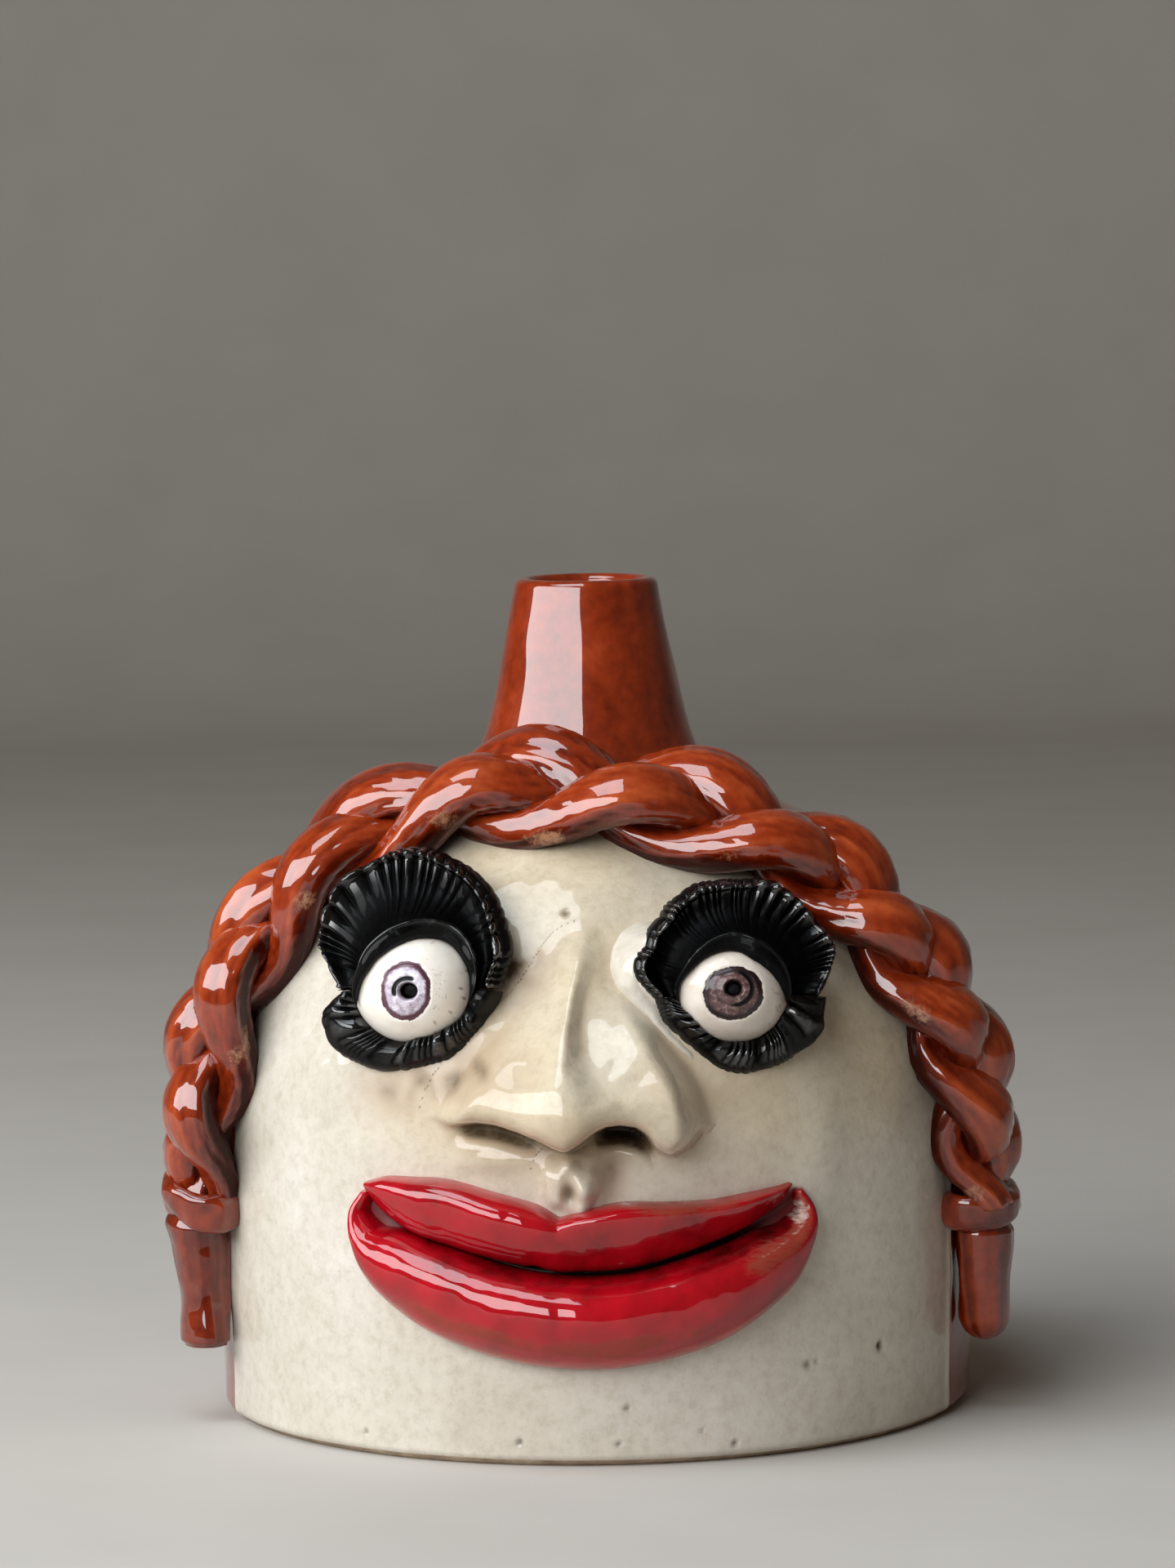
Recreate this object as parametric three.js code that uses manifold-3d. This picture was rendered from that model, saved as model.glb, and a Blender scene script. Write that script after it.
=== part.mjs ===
// Hand-built stoneware face jug: a hollow domed head on a flat floor, with a conical bottle neck,
// modelled features on the front and a three-strand plait laid over the forehead from side to side.
// Millimetres, +Z up, the face looks along -Y, origin at the centre of the foot on the table.
// Left and right are the viewer's: left pieces lie on the -X side.

import * as THREE from "three";
import Module from "manifold-3d";

const wasm = await Module();
wasm.setup();

// Body of the jug
const wallRadius = 77;
const footLean = 1;
const footRounding = 2.5;
const shoulderHeight = 62;
const domeRise = 69.5;
const wallThickness = 6;
const floorThickness = 7;
const throatRadius = 18;
const pieceGap = 0.3;
const bodySegments = 48;
const domeSteps = 9;
const innerSteps = 6;
const slopeReach = 0.4;
const envelopeRise = 2;
const envelopeTopShare = 0.9;

// Neck
const jugHeight = 168;
const rimRadius = 14.6;
const rimRoll = 1.8;
const coneFootRadius = 22.24;
const neckFlare = 5.2;
const neckFlareReach = 4.6;
const throatStep = 0.5;

// Levels of the neck as shares of its height, and the wall of its bore at some of them
const neckLevels = [0, 0.057, 0.134, 0.249, 0.481, 1];
const neckWalls = [
  [1, 4],
  [0.841, 4.6],
  [0.352, 5.3],
];
const rimRollAngles = [35, 70, 110, 145];
const neckSegments = 30;

// Plait: path over the body as azimuth from the front and elevation, both in degrees, where the
// elevation is seen from the middle of the body at its shoulder
const plaitPath = [
  [-73.5, -13.3],
  [-72, -5],
  [-70, 8.3],
  [-68, 20.2],
  [-66, 30.2],
  [-62, 40.9],
  [-53, 51.6],
  [-37, 60],
  [-16, 61.7],
  [6, 60.4],
  [26, 55.4],
  [42, 47.2],
  [53, 35.6],
  [58.5, 24.7],
  [63, 13.3],
  [67, 0],
  [70, -9.9],
  [71, -15.9],
];
const plaitLift = 5.4;
const faceSway = 6.8;
const sideSway = 3.7;
const crownSway = 9.4;
const crownSharpness = 6;
const plaitWeave = 3.7;
const strandHalfWidth = 6.8;
const strandHalfThickness = 4.7;
const strandSteps = 40;
const strandSides = 8;
const gatherLength = 16;
const gatheredSpread = 0.66;
const gatheredSize = 0.8;
const openSize = 0.94;
const fullSize = 1.04;

// Where one strand after another reaches the face side of the plait, along its length, and where
// they reach the neck side, each place between two of the first row
const faceLobes = [-62, -38, -14, 10, 36, 64, 98, 131, 161, 191, 213, 233, 254, 276, 298];
const neckLobes = [-50, -26, -2, 22, 46, 76, 110, 146, 176, 202, 223, 244, 265, 287];

// Ties and tails at the two ends of the plait
const tieHalfWidth = 10;
const tieHalfThickness = 7.2;
const tieLength = 7.5;
const tieEdge = 0.8;
const tieBandShare = 0.4;
const tieSides = 20;
const waistHalfWidth = 7.4;
const waistHalfThickness = 4.7;
const tails = {
  left: { azimuthTop: -75.5, azimuthFoot: -73.5, footHeight: 16, topHalfWidth: 8.4, footHalfWidth: 7 },
  right: { azimuthTop: 71, azimuthFoot: 72, footHeight: 15, topHalfWidth: 8, footHalfWidth: 4.4 },
};
const tailHalfThickness = 5.6;
const tailDrop = 2.4;
const tailTopShare = 0.93;
const tailThinning = 0.18;
const tailFootLift = 0.3;
const waistTopShare = 0.94;
const tailSteps = 6;
const tailSides = 12;

// Eyes: place of the ball as azimuth, level over the shoulder and distance in front of the wall,
// direction of the gaze in degrees, ball radius, reach of the socket past it and pupil
const eyes = {
  left: {
    azimuth: -28.28,
    level: 30.6,
    lift: 2.41,
    turn: -17,
    tilt: 7,
    ball: 12.4,
    socketReach: 1.8,
    pupil: [-1.4, 0],
  },
  right: {
    azimuth: 21.79,
    level: 29.6,
    lift: 2.27,
    turn: 13,
    tilt: 7,
    ball: 11.7,
    socketReach: 2.5,
    pupil: [0.6, 1],
  },
};
const dentRadius = 4.2;
const dentLength = 2.4;
const ballFlattening = 0.91;
const ballSides = 18;
const ballRows = 10;
const socketRoll = 3.8;
const socketSetback = 5;
const lidRoll = 1.3;
const lidForward = 5;
const lidClearance = 0.35;
const lidEndShare = 0.5;
const lidEnds = [4, 176];
const lidSteps = 14;
const lidSides = 6;
const lashThickness = 3.6;
const lashEndShare = 0.6;
const lashInnerGap = 0.9;
const lashSquash = 0.95;
const lashRidge = 0.7;
const lashRidgeReach = 0.4;
const lashLeastWidth = 1.2;
const lashWidthScale = 16;
const lashSwell = 0.8;
const lashEdgeShare = 0.7;
const lashStations = 30;
const upperLashForward = 3.3;
const lowerLashForward = 3.6;

// Outer edge of each lash as angle in degrees round the eye and reach past the ball
const upperLashEdge = {
  left: [
    [8, 4.4],
    [27, 7.2],
    [45, 10],
    [62, 12.4],
    [76, 14],
    [91, 15.2],
    [107, 15],
    [127, 14],
    [145, 11.6],
    [160, 9],
    [176, 6.4],
  ],
  right: [
    [0, 6.5],
    [12, 9.9],
    [26, 12.5],
    [42, 11.3],
    [57, 11.3],
    [72, 11.1],
    [90, 9.9],
    [106, 9.7],
    [122, 9.3],
    [140, 8.3],
    [160, 7.5],
    [172, 5.1],
  ],
};
const lowerLashEdge = {
  left: [
    [186, 5.8],
    [200, 6.8],
    [214, 7],
    [234, 5.4],
    [256, 4.2],
    [280, 3.6],
    [300, 3.4],
    [322, 3.4],
    [342, 3.4],
    [358, 3.8],
  ],
  right: [
    [186, 3.3],
    [206, 2.7],
    [226, 2.7],
    [248, 3.1],
    [266, 3.7],
    [284, 4.7],
    [300, 5.7],
    [316, 6.5],
    [332, 6.9],
    [346, 6.7],
  ],
};
const upperLashLean = { left: 8, right: 6 };
const lowerLashLean = -1.5;

// Nose: level slices, each as level over the shoulder, left edge, right edge, ridge and rise
const noseSections = [
  [41, -8.5, 1.5, -3, 1.2],
  [36, -10.5, 3.5, -3, 3.6],
  [30, -14, 6.5, -3.2, 6.6],
  [24, -16.5, 9.5, -3.6, 9.4],
  [18, -20.5, 13.5, -4.6, 12.6],
  [13, -25.5, 17, -5.6, 15.4],
  [8, -29, 19, -6.2, 17.4],
  [4, -29.2, 19.2, -6.2, 17.2],
  [1, -27.5, 18, -6, 14.5],
  [-1, -22, 13, -5.6, 9.5],
];
const noseSides = 12;
const noseSeat = 3;
const noseRoundness = 0.8;
const nostrils = [
  { across: -17.5, lift: 7.52, size: [6.2, 6, 3.6] },
  { across: 7.5, lift: 5.37, size: [5.4, 6, 4.6] },
];
const nostrilOverFoot = 1;

// Philtrum: a lump that hangs from the foot of the nose down to the upper lip
const philtrum = { azimuth: -3.4, halfWidth: 5.2, halfHeight: 5.6, rise: 4.2 };
const philtrumGap = 0.1;

// Lips: each station gives azimuth, upper and lower edge as levels over the shoulder, and rise
const upperLipStations = [
  [-33.5, -7.4, -9.6, 1.6],
  [-31, -6.2, -12, 4],
  [-26, -5.6, -16.4, 5.6],
  [-21, -5.8, -19, 6.4],
  [-15, -7.8, -21.2, 6.8],
  [-9, -10, -22.8, 6.6],
  [-5.2, -12.4, -23.6, 5.8],
  [-1, -11, -23.6, 6.6],
  [5, -9.8, -23, 6.8],
  [11, -10, -21, 6.6],
  [17, -10, -18.6, 6],
  [22, -9.2, -16.2, 5.2],
  [26.5, -8.4, -13, 3.6],
  [29.5, -7.8, -9.6, 1.6],
];
const lowerLipStations = [
  [-35, -7.6, -11.2, 2.4],
  [-36, -10.4, -16.6, 4.6],
  [-34.4, -12.4, -23.6, 6.2],
  [-31, -14, -30, 7.6],
  [-25.5, -17, -35.2, 8.6],
  [-19, -20.2, -38.8, 9.4],
  [-12, -22.8, -41.2, 9.8],
  [-5, -24.2, -42.4, 10],
  [2, -24.4, -42.6, 10],
  [9, -23, -41.4, 9.8],
  [16, -20.4, -39, 9.4],
  [22, -17.4, -35.2, 8.6],
  [27.4, -13.6, -30, 7.4],
  [30.6, -11.2, -23.2, 6],
  [31.6, -10.2, -16.4, 4.4],
  [30.6, -7.8, -11.4, 2.4],
];
const lipSides = 10;
const mouthLine = [
  [-24, -15.6],
  [-17, -19],
  [-10, -21.4],
  [-4, -22.4],
  [4, -22.2],
  [13, -19.8],
  [20, -16.2],
];
const mouthHalfHeight = 1.9;
const mouthEndShare = 0.35;
const mouthDepth = 3.2;
const mouthSides = 8;
const lipSeat = 0.6;
const lipCornerShare = 0.62;

// Materials
const creamGlaze = new THREE.MeshStandardMaterial({ color: 0xcfc7b4, roughness: 0.32, metalness: 0 });
const brownGlaze = new THREE.MeshStandardMaterial({ color: 0x8c3a1c, roughness: 0.12, metalness: 0 });
const redGlaze = new THREE.MeshStandardMaterial({ color: 0xb01028, roughness: 0.16, metalness: 0 });
const blackGlaze = new THREE.MeshStandardMaterial({ color: 0x14181a, roughness: 0.25, metalness: 0 });
const eyeGlaze = new THREE.MeshStandardMaterial({ color: 0xe6dccb, roughness: 0.22, metalness: 0 });
const rawClay = new THREE.MeshStandardMaterial({ color: 0xa08a72, roughness: 0.85, metalness: 0 });

const degrees = Math.PI / 180;

// The dome is cut off where it is as wide as the foot of the neck.
const neckFootRadius = coneFootRadius + neckFlare;
const domeCutHeight = shoulderHeight + domeRise * Math.sqrt(1 - (neckFootRadius / wallRadius) ** 2);
const neckFootHeight = domeCutHeight + pieceGap;
const rimLevel = jugHeight - rimRoll;
const neckTaper = (coneFootRadius - rimRadius) / (rimLevel - domeCutHeight);

// The philtrum hangs from the lowest slice of the nose, and the nostrils open just over it.
const noseFoot = shoulderHeight + noseSections[noseSections.length - 1][0];

// Outer radius of the body at a height: a nearly straight wall that closes in an elliptical dome.
function bodyRadius(height) {
  if (height > shoulderHeight) {
    const rise = Math.min((height - shoulderHeight) / domeRise, 1);
    return wallRadius * Math.sqrt(1 - rise * rise);
  }
  const lean = footLean * (1 - Math.max(height, 0) / shoulderHeight);
  const edge = Math.max(1 - Math.max(height, 0) / footRounding, 0);
  return wallRadius - lean - footRounding * edge * edge;
}

// Height over the table of a place on the body given by its elevation, or by its level.
function heightAt(elevation) {
  return shoulderHeight + domeRise * Math.sin(elevation * degrees);
}

function overShoulder(level) {
  return shoulderHeight + level;
}

function bodySlope(height) {
  const rise = bodyRadius(height + slopeReach) - bodyRadius(height - slopeReach);
  return rise / (2 * slopeReach);
}

// Outward direction of the body surface.
function bodyNormal(azimuth, height) {
  const slope = bodySlope(height);
  const length = Math.hypot(1, slope);
  const turn = azimuth * degrees;
  return new THREE.Vector3(Math.sin(turn) / length, -Math.cos(turn) / length, -slope / length);
}

// Point on the body, moved out along the surface direction.
function onBody(azimuth, height, offset) {
  const turn = azimuth * degrees;
  const radius = bodyRadius(height);
  const point = new THREE.Vector3(radius * Math.sin(turn), -radius * Math.cos(turn), height);
  return point.addScaledVector(bodyNormal(azimuth, height), offset);
}

// Closed solid from points and triangles, turned so that its faces point out.
function solidFrom(points, triangles) {
  let volume = 0;
  for (const [a, b, c] of triangles) {
    volume += points[a].dot(new THREE.Vector3().crossVectors(points[b], points[c]));
  }
  const facing = volume > 0 ? triangles : triangles.map(([a, b, c]) => [a, c, b]);
  const vertProperties = new Float32Array(points.flatMap((point) => [point.x, point.y, point.z]));
  const triVerts = new Uint32Array(facing.flat());
  return new wasm.Manifold(new wasm.Mesh({ numProp: 3, vertProperties, triVerts }));
}

// Solid through a row of loops with the same number of points; the ends are closed with fans
// unless the row itself runs round in a ring.
function loft(loops, ring = false) {
  const sides = loops[0].length;
  const points = loops.flat();
  const triangles = [];
  const rows = ring ? loops.length : loops.length - 1;
  for (let row = 0; row < rows; row++) {
    const next = (row + 1) % loops.length;
    for (let side = 0; side < sides; side++) {
      const other = (side + 1) % sides;
      const a = row * sides + side;
      const b = row * sides + other;
      const c = next * sides + other;
      const d = next * sides + side;
      triangles.push([a, b, c], [a, c, d]);
    }
  }
  if (!ring) {
    for (const row of [0, loops.length - 1]) {
      const centre = new THREE.Vector3();
      loops[row].forEach((point) => centre.addScaledVector(point, 1 / sides));
      const hub = points.length;
      points.push(centre);
      for (let side = 0; side < sides; side++) {
        const a = row * sides + side;
        const b = row * sides + ((side + 1) % sides);
        triangles.push(row === 0 ? [hub, b, a] : [hub, a, b]);
      }
    }
  }
  return solidFrom(points, triangles);
}

// Ellipse of points in the plane of two directions.
function ellipse(centre, across, out, halfWidth, halfHeight, sides) {
  const loop = [];
  for (let side = 0; side < sides; side++) {
    const angle = (2 * Math.PI * (side + 0.5)) / sides;
    loop.push(
      centre
        .clone()
        .addScaledVector(across, halfWidth * Math.cos(angle))
        .addScaledVector(out, halfHeight * Math.sin(angle)),
    );
  }
  return loop;
}

// Solid of revolution about the vertical axis from a closed profile of radius and height pairs.
function turned(profile, segments) {
  const points = profile.map(([radius, height]) => new THREE.Vector2(radius, height));
  const onAxis = profile[0][0] === 0;
  if (!onAxis) points.push(points[0].clone());
  const lathe = new THREE.LatheGeometry(points, segments);
  return solidOf(lathe, new THREE.Matrix4().makeRotationX(Math.PI / 2));
}

// Closed solid from a geometry, with the points that share a place merged.
function solidOf(geometry, matrix) {
  const placed = geometry.clone().applyMatrix4(matrix);
  const place = placed.getAttribute("position");
  const order = placed.getIndex();
  const points = [];
  const known = new Map();
  const names = [];
  for (let index = 0; index < place.count; index++) {
    const point = new THREE.Vector3().fromBufferAttribute(place, index);
    const key = point.toArray().map((value) => Math.round(value * 1e4)).join("_");
    if (!known.has(key)) {
      known.set(key, points.length);
      points.push(point);
    }
    names.push(known.get(key));
  }
  const count = order ? order.count : place.count;
  const triangles = [];
  for (let index = 0; index < count; index += 3) {
    const corner = [0, 1, 2].map((step) => names[order ? order.getX(index + step) : index + step]);
    if (new Set(corner).size === 3) triangles.push(corner);
  }
  return solidFrom(points, triangles);
}

// Second value of a table at a place between its first ones.
function tableValue(table, at) {
  if (at <= table[0][0]) return table[0][1];
  for (let row = 1; row < table.length; row++) {
    if (at <= table[row][0]) {
      const share = (at - table[row - 1][0]) / (table[row][0] - table[row - 1][0]);
      return THREE.MathUtils.lerp(table[row - 1][1], table[row][1], share);
    }
  }
  return table[table.length - 1][1];
}

// Body: profile of the outer surface, which also serves, grown by the gap, to seat every feature.
function bodyProfile(growth) {
  const heights = [0, footRounding / 2, footRounding, shoulderHeight / 2, shoulderHeight];
  const domeEnd = Math.asin((domeCutHeight - shoulderHeight) / domeRise);
  for (let step = 1; step <= domeSteps; step++) {
    heights.push(shoulderHeight + domeRise * Math.sin((domeEnd * step) / domeSteps));
  }
  return heights.map((height) => {
    const length = Math.hypot(1, bodySlope(height));
    const lift = (-bodySlope(height) / length) * growth;
    return [bodyRadius(height) + growth / length, height > shoulderHeight ? height + lift : height];
  });
}

function headShell() {
  const outer = bodyProfile(0);
  const inner = [];
  const innerRadius = wallRadius - wallThickness;
  const innerRise = domeRise - wallThickness;
  const innerEnd = Math.acos(throatRadius / innerRadius);
  for (let step = innerSteps; step >= 0; step--) {
    const angle = (innerEnd * step) / innerSteps;
    inner.push([innerRadius * Math.cos(angle), shoulderHeight + innerRise * Math.sin(angle)]);
  }
  inner.push([innerRadius, 0]);
  const shell = turned([...outer, [throatRadius, domeCutHeight], ...inner], bodySegments);
  return shell.subtract(mouthSlot());
}

// Dark hollow behind the parting of the lips.
function mouthSlot() {
  const loops = mouthLine.map(([azimuth, level], index) => {
    const height = overShoulder(level);
    const last = index === 0 || index === mouthLine.length - 1;
    const half = mouthHalfHeight * (last ? mouthEndShare : 1);
    const up = new THREE.Vector3(0, 0, 1);
    const out = bodyNormal(azimuth, height);
    return ellipse(onBody(azimuth, height, 0), up, out, half, mouthDepth, mouthSides);
  });
  return loft(loops);
}

function bodyEnvelope() {
  const outer = bodyProfile(pieceGap);
  const top = [outer[outer.length - 1][0] * envelopeTopShare, domeCutHeight + envelopeRise];
  const foot = [outer[0][0], -1];
  return turned([[0, foot[1]], foot, ...outer, top, [0, top[1]]], bodySegments);
}

function baseSlab() {
  const radius = wallRadius - wallThickness - pieceGap;
  const slab = [[0, 0], [radius, 0], [radius, floorThickness], [0, floorThickness]];
  return turned(slab, bodySegments);
}

function neckRadius(height) {
  const cone = rimRadius + (rimLevel - height) * neckTaper;
  return cone + neckFlare * Math.exp(-(height - domeCutHeight) / neckFlareReach);
}

function neckHeight(share) {
  return THREE.MathUtils.lerp(neckFootHeight, rimLevel, share);
}

// Solid cone grown by the gap, which seats the plait beside the neck.
function neckEnvelope() {
  const outer = neckLevels.map((share) => {
    const height = neckHeight(share);
    return [neckRadius(height) + pieceGap, height - pieceGap];
  });
  return turned([[0, outer[0][1]], ...outer, [0, outer[outer.length - 1][1]]], neckSegments);
}

function neck() {
  const outer = neckLevels.map((share) => [neckRadius(neckHeight(share)), neckHeight(share)]);
  const rollCentre = [rimRadius - rimRoll, rimLevel];
  for (const angle of rimRollAngles) {
    const across = rollCentre[0] + rimRoll * Math.cos(angle * degrees);
    outer.push([across, rollCentre[1] + rimRoll * Math.sin(angle * degrees)]);
  }
  const bore = neckWalls.map(([share, wall]) => {
    const height = neckHeight(share);
    return [neckRadius(height) - wall, height];
  });
  bore.push([throatRadius - throatStep, neckFootHeight]);
  return turned([...outer, ...bore], neckSegments);
}

// Plait: frames along the path, each with a centre, the surface direction and the direction across.
function plaitFrames() {
  const guide = plaitPath.map(([azimuth, elevation]) => {
    const height = heightAt(elevation);
    const reach = bodyRadius(height);
    return new THREE.Vector3(azimuth * degrees * reach, height, azimuth);
  });
  const curve = new THREE.CatmullRomCurve3(guide, false, "centripetal");
  const samples = 400;
  const frames = [];
  for (let step = 0; step <= samples; step++) {
    const spot = curve.getPoint(step / samples);
    frames.push({
      centre: onBody(spot.z, spot.y, plaitLift),
      out: bodyNormal(spot.z, spot.y),
      arc: 0,
    });
  }
  frames.forEach((frame, index) => {
    const before = frames[Math.max(index - 1, 0)];
    const after = frames[Math.min(index + 1, samples)];
    frame.along = after.centre.clone().sub(before.centre).normalize();
    frame.across = new THREE.Vector3().crossVectors(frame.out, frame.along).normalize();
    frame.arc = index === 0 ? 0 : before.arc + frame.centre.distanceTo(before.centre);
  });
  return frames;
}

const frames = plaitFrames();
const plaitLength = frames[frames.length - 1].arc;

function frameAt(arc) {
  const at = THREE.MathUtils.clamp(arc, 0, plaitLength);
  let low = 0;
  let high = frames.length - 1;
  while (high - low > 1) {
    const middle = (low + high) >> 1;
    if (frames[middle].arc > at) high = middle;
    else low = middle;
  }
  const share = (at - frames[low].arc) / (frames[high].arc - frames[low].arc);
  const mix = (name) => frames[low][name].clone().lerp(frames[high][name], share);
  return { centre: mix("centre"), out: mix("out").normalize(), across: mix("across").normalize() };
}

const strandStart = tieLength / 2 + pieceGap;
const strandEnd = plaitLength - tieLength / 2 - pieceGap;

// The plait draws together towards the ties.
function gather(arc) {
  const room = Math.min(arc - strandStart, strandEnd - arc);
  return THREE.MathUtils.smoothstep(room, 0, gatherLength);
}

// The strands are fullest over the forehead, where they also lean up against the neck.
function fullness(arc) {
  const share = THREE.MathUtils.clamp((arc - strandStart) / (strandEnd - strandStart), 0, 1);
  return Math.sin(Math.PI * share);
}

// Phase of a strand: a quarter turn back at the face side, a quarter turn on at the neck side.
function strandAngle(strand, arc) {
  let lobe = strand;
  while (lobe + 3 < faceLobes.length && arc > faceLobes[lobe + 3]) lobe += 3;
  const face = faceLobes[lobe];
  const neckSide = neckLobes[lobe + 1];
  if (arc < neckSide) return Math.PI * ((arc - face) / (neckSide - face) - 0.5);
  return Math.PI * ((arc - neckSide) / (faceLobes[lobe + 3] - neckSide) + 0.5);
}

function strandCentre(strand, arc) {
  const frame = frameAt(arc);
  const angle = strandAngle(strand, arc);
  const spread = THREE.MathUtils.lerp(gatheredSpread, 1, gather(arc));
  const neckSway = THREE.MathUtils.lerp(sideSway, crownSway, fullness(arc) ** crownSharpness);
  const sway = Math.sin(angle) > 0 ? neckSway : faceSway;
  return frame.centre
    .clone()
    .addScaledVector(frame.across, sway * spread * Math.sin(angle))
    .addScaledVector(frame.out, -plaitWeave * spread * Math.sin(2 * angle));
}

function strand(index, growth) {
  const loops = [];
  for (let step = 0; step <= strandSteps; step++) {
    const start = strandStart - growth;
    const end = strandEnd + growth;
    const arc = start + ((end - start) * step) / strandSteps;
    const frame = frameAt(arc);
    const square = new THREE.Vector3().crossVectors(frame.across, frame.out);
    const ahead = strandCentre(index, arc + slopeReach).sub(strandCentre(index, arc - slopeReach));
    const along = square.lerp(ahead.normalize(), gather(arc)).normalize();
    const across = new THREE.Vector3().crossVectors(frame.out, along).normalize();
    const out = new THREE.Vector3().crossVectors(along, across).normalize();
    const open = THREE.MathUtils.lerp(gatheredSize, openSize, gather(arc));
    const size = open + (fullSize - openSize) * fullness(arc);
    const wide = strandHalfWidth * size + growth;
    const thick = strandHalfThickness * size + growth;
    loops.push(ellipse(strandCentre(index, arc), across, out, wide, thick, strandSides));
  }
  return loft(loops);
}

// Tail: a bunch that runs up through its tie as a narrow waist and hangs below it.
function tail(side, growth) {
  const shape = tails[side];
  const arc = side === "left" ? 0 : plaitLength;
  const frame = frameAt(arc);
  const sign = side === "left" ? 1 : -1;
  const top = frameAt(arc + sign * (tieLength / 2 - pieceGap));
  const waistWide = waistHalfWidth + growth;
  const waistThick = waistHalfThickness + growth;
  const loops = [
    ellipse(
      top.centre,
      top.across,
      top.out,
      waistWide * waistTopShare,
      waistThick * waistTopShare,
      tailSides,
    ),
    ellipse(frame.centre, frame.across, frame.out, waistWide, waistThick, tailSides),
  ];
  const start = frame.centre.z - tieLength / 2 - tailDrop;
  for (let step = 0; step <= tailSteps; step++) {
    const share = step / tailSteps;
    const height = THREE.MathUtils.lerp(start, shape.footHeight, share);
    const azimuth = THREE.MathUtils.lerp(shape.azimuthTop, shape.azimuthFoot, share);
    const wide = THREE.MathUtils.lerp(shape.topHalfWidth, shape.footHalfWidth, share);
    const swell = step === 0 ? tailTopShare : 1;
    const thick = tailHalfThickness * (1 - tailThinning * share) * swell;
    const out = bodyNormal(azimuth, height);
    const across = new THREE.Vector3().crossVectors(out, new THREE.Vector3(0, 0, 1)).normalize();
    if (across.dot(frame.across) < 0) across.negate();
    const centre = onBody(azimuth, height, plaitLift + tailFootLift * share);
    loops.push(ellipse(centre, across, out, wide * swell + growth, thick + growth, tailSides));
  }
  return loft(loops);
}

// Tie: a flattened clay band round the waist between the plait and its tail.
function tie(side) {
  const arc = side === "left" ? 0 : plaitLength;
  const frame = frameAt(arc);
  const along = new THREE.Vector3().crossVectors(frame.across, frame.out).normalize();
  const loops = [];
  const innerWide = waistHalfWidth + pieceGap * 2;
  const innerThick = waistHalfThickness + pieceGap * 2;
  for (let step = 0; step < tieSides; step++) {
    const angle = (2 * Math.PI * (step + 0.5)) / tieSides;
    const place = (wide, thick, shift) =>
      frame.centre
        .clone()
        .addScaledVector(frame.across, wide * Math.cos(angle))
        .addScaledVector(frame.out, thick * Math.sin(angle))
        .addScaledVector(along, shift);
    const half = tieLength / 2 - pieceGap;
    const band = half * tieBandShare;
    loops.push([
      place(innerWide, innerThick, -half),
      place(tieHalfWidth - tieEdge, tieHalfThickness - tieEdge, -half),
      place(tieHalfWidth, tieHalfThickness, -band),
      place(tieHalfWidth, tieHalfThickness, band),
      place(tieHalfWidth - tieEdge, tieHalfThickness - tieEdge, half),
      place(innerWide, innerThick, half),
    ]);
  }
  return loft(loops, true);
}

// Eye frame: centre, forward along the gaze, right and up as the viewer sees them.
function eyeFrame(side) {
  const eye = eyes[side];
  const turn = eye.turn * degrees;
  const tilt = eye.tilt * degrees;
  const flat = Math.cos(tilt);
  const forward = new THREE.Vector3(Math.sin(turn) * flat, -Math.cos(turn) * flat, Math.sin(tilt));
  const right = new THREE.Vector3(Math.cos(turn), Math.sin(turn), 0);
  const up = new THREE.Vector3().crossVectors(forward, right);
  const height = overShoulder(eye.level);
  const reach = bodyRadius(height) + eye.lift;
  const away = eye.azimuth * degrees;
  const centre = new THREE.Vector3(reach * Math.sin(away), -reach * Math.cos(away), height);
  return { centre, forward, right, up };
}

function eyePoint(frame, angle, radius, ahead) {
  return frame.centre
    .clone()
    .addScaledVector(frame.right, radius * Math.cos(angle * degrees))
    .addScaledVector(frame.up, radius * Math.sin(angle * degrees))
    .addScaledVector(frame.forward, ahead);
}

function eyeMatrix(frame) {
  const matrix = new THREE.Matrix4().makeBasis(frame.right, frame.up, frame.forward);
  return matrix.setPosition(frame.centre);
}

function eyeball(side, growth) {
  const radius = eyes[side].ball + growth;
  const geometry = new THREE.SphereGeometry(radius, ballSides, ballRows);
  geometry.rotateX(Math.PI / 2);
  geometry.scale(1, ballFlattening, 1);
  let ball = solidOf(geometry, eyeMatrix(eyeFrame(side)));
  if (growth === 0) {
    const [pupilRight, pupilUp] = eyes[side].pupil;
    const surface = Math.sqrt(radius * radius - pupilRight * pupilRight - pupilUp * pupilUp);
    const dent = new THREE.ConeGeometry(dentRadius, dentLength, ballRows);
    dent.rotateX(-Math.PI / 2);
    dent.translate(pupilRight, pupilUp, surface);
    ball = ball.subtract(solidOf(dent, eyeMatrix(eyeFrame(side))));
  }
  return ball;
}

function eyeSocket(side, growth) {
  const socketRadius = eyes[side].ball + eyes[side].socketReach;
  const geometry = new THREE.TorusGeometry(socketRadius, socketRoll + growth, 8, 20);
  geometry.scale(1, ballFlattening, 1);
  geometry.translate(0, 0, -socketSetback);
  return solidOf(geometry, eyeMatrix(eyeFrame(side)));
}

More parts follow.
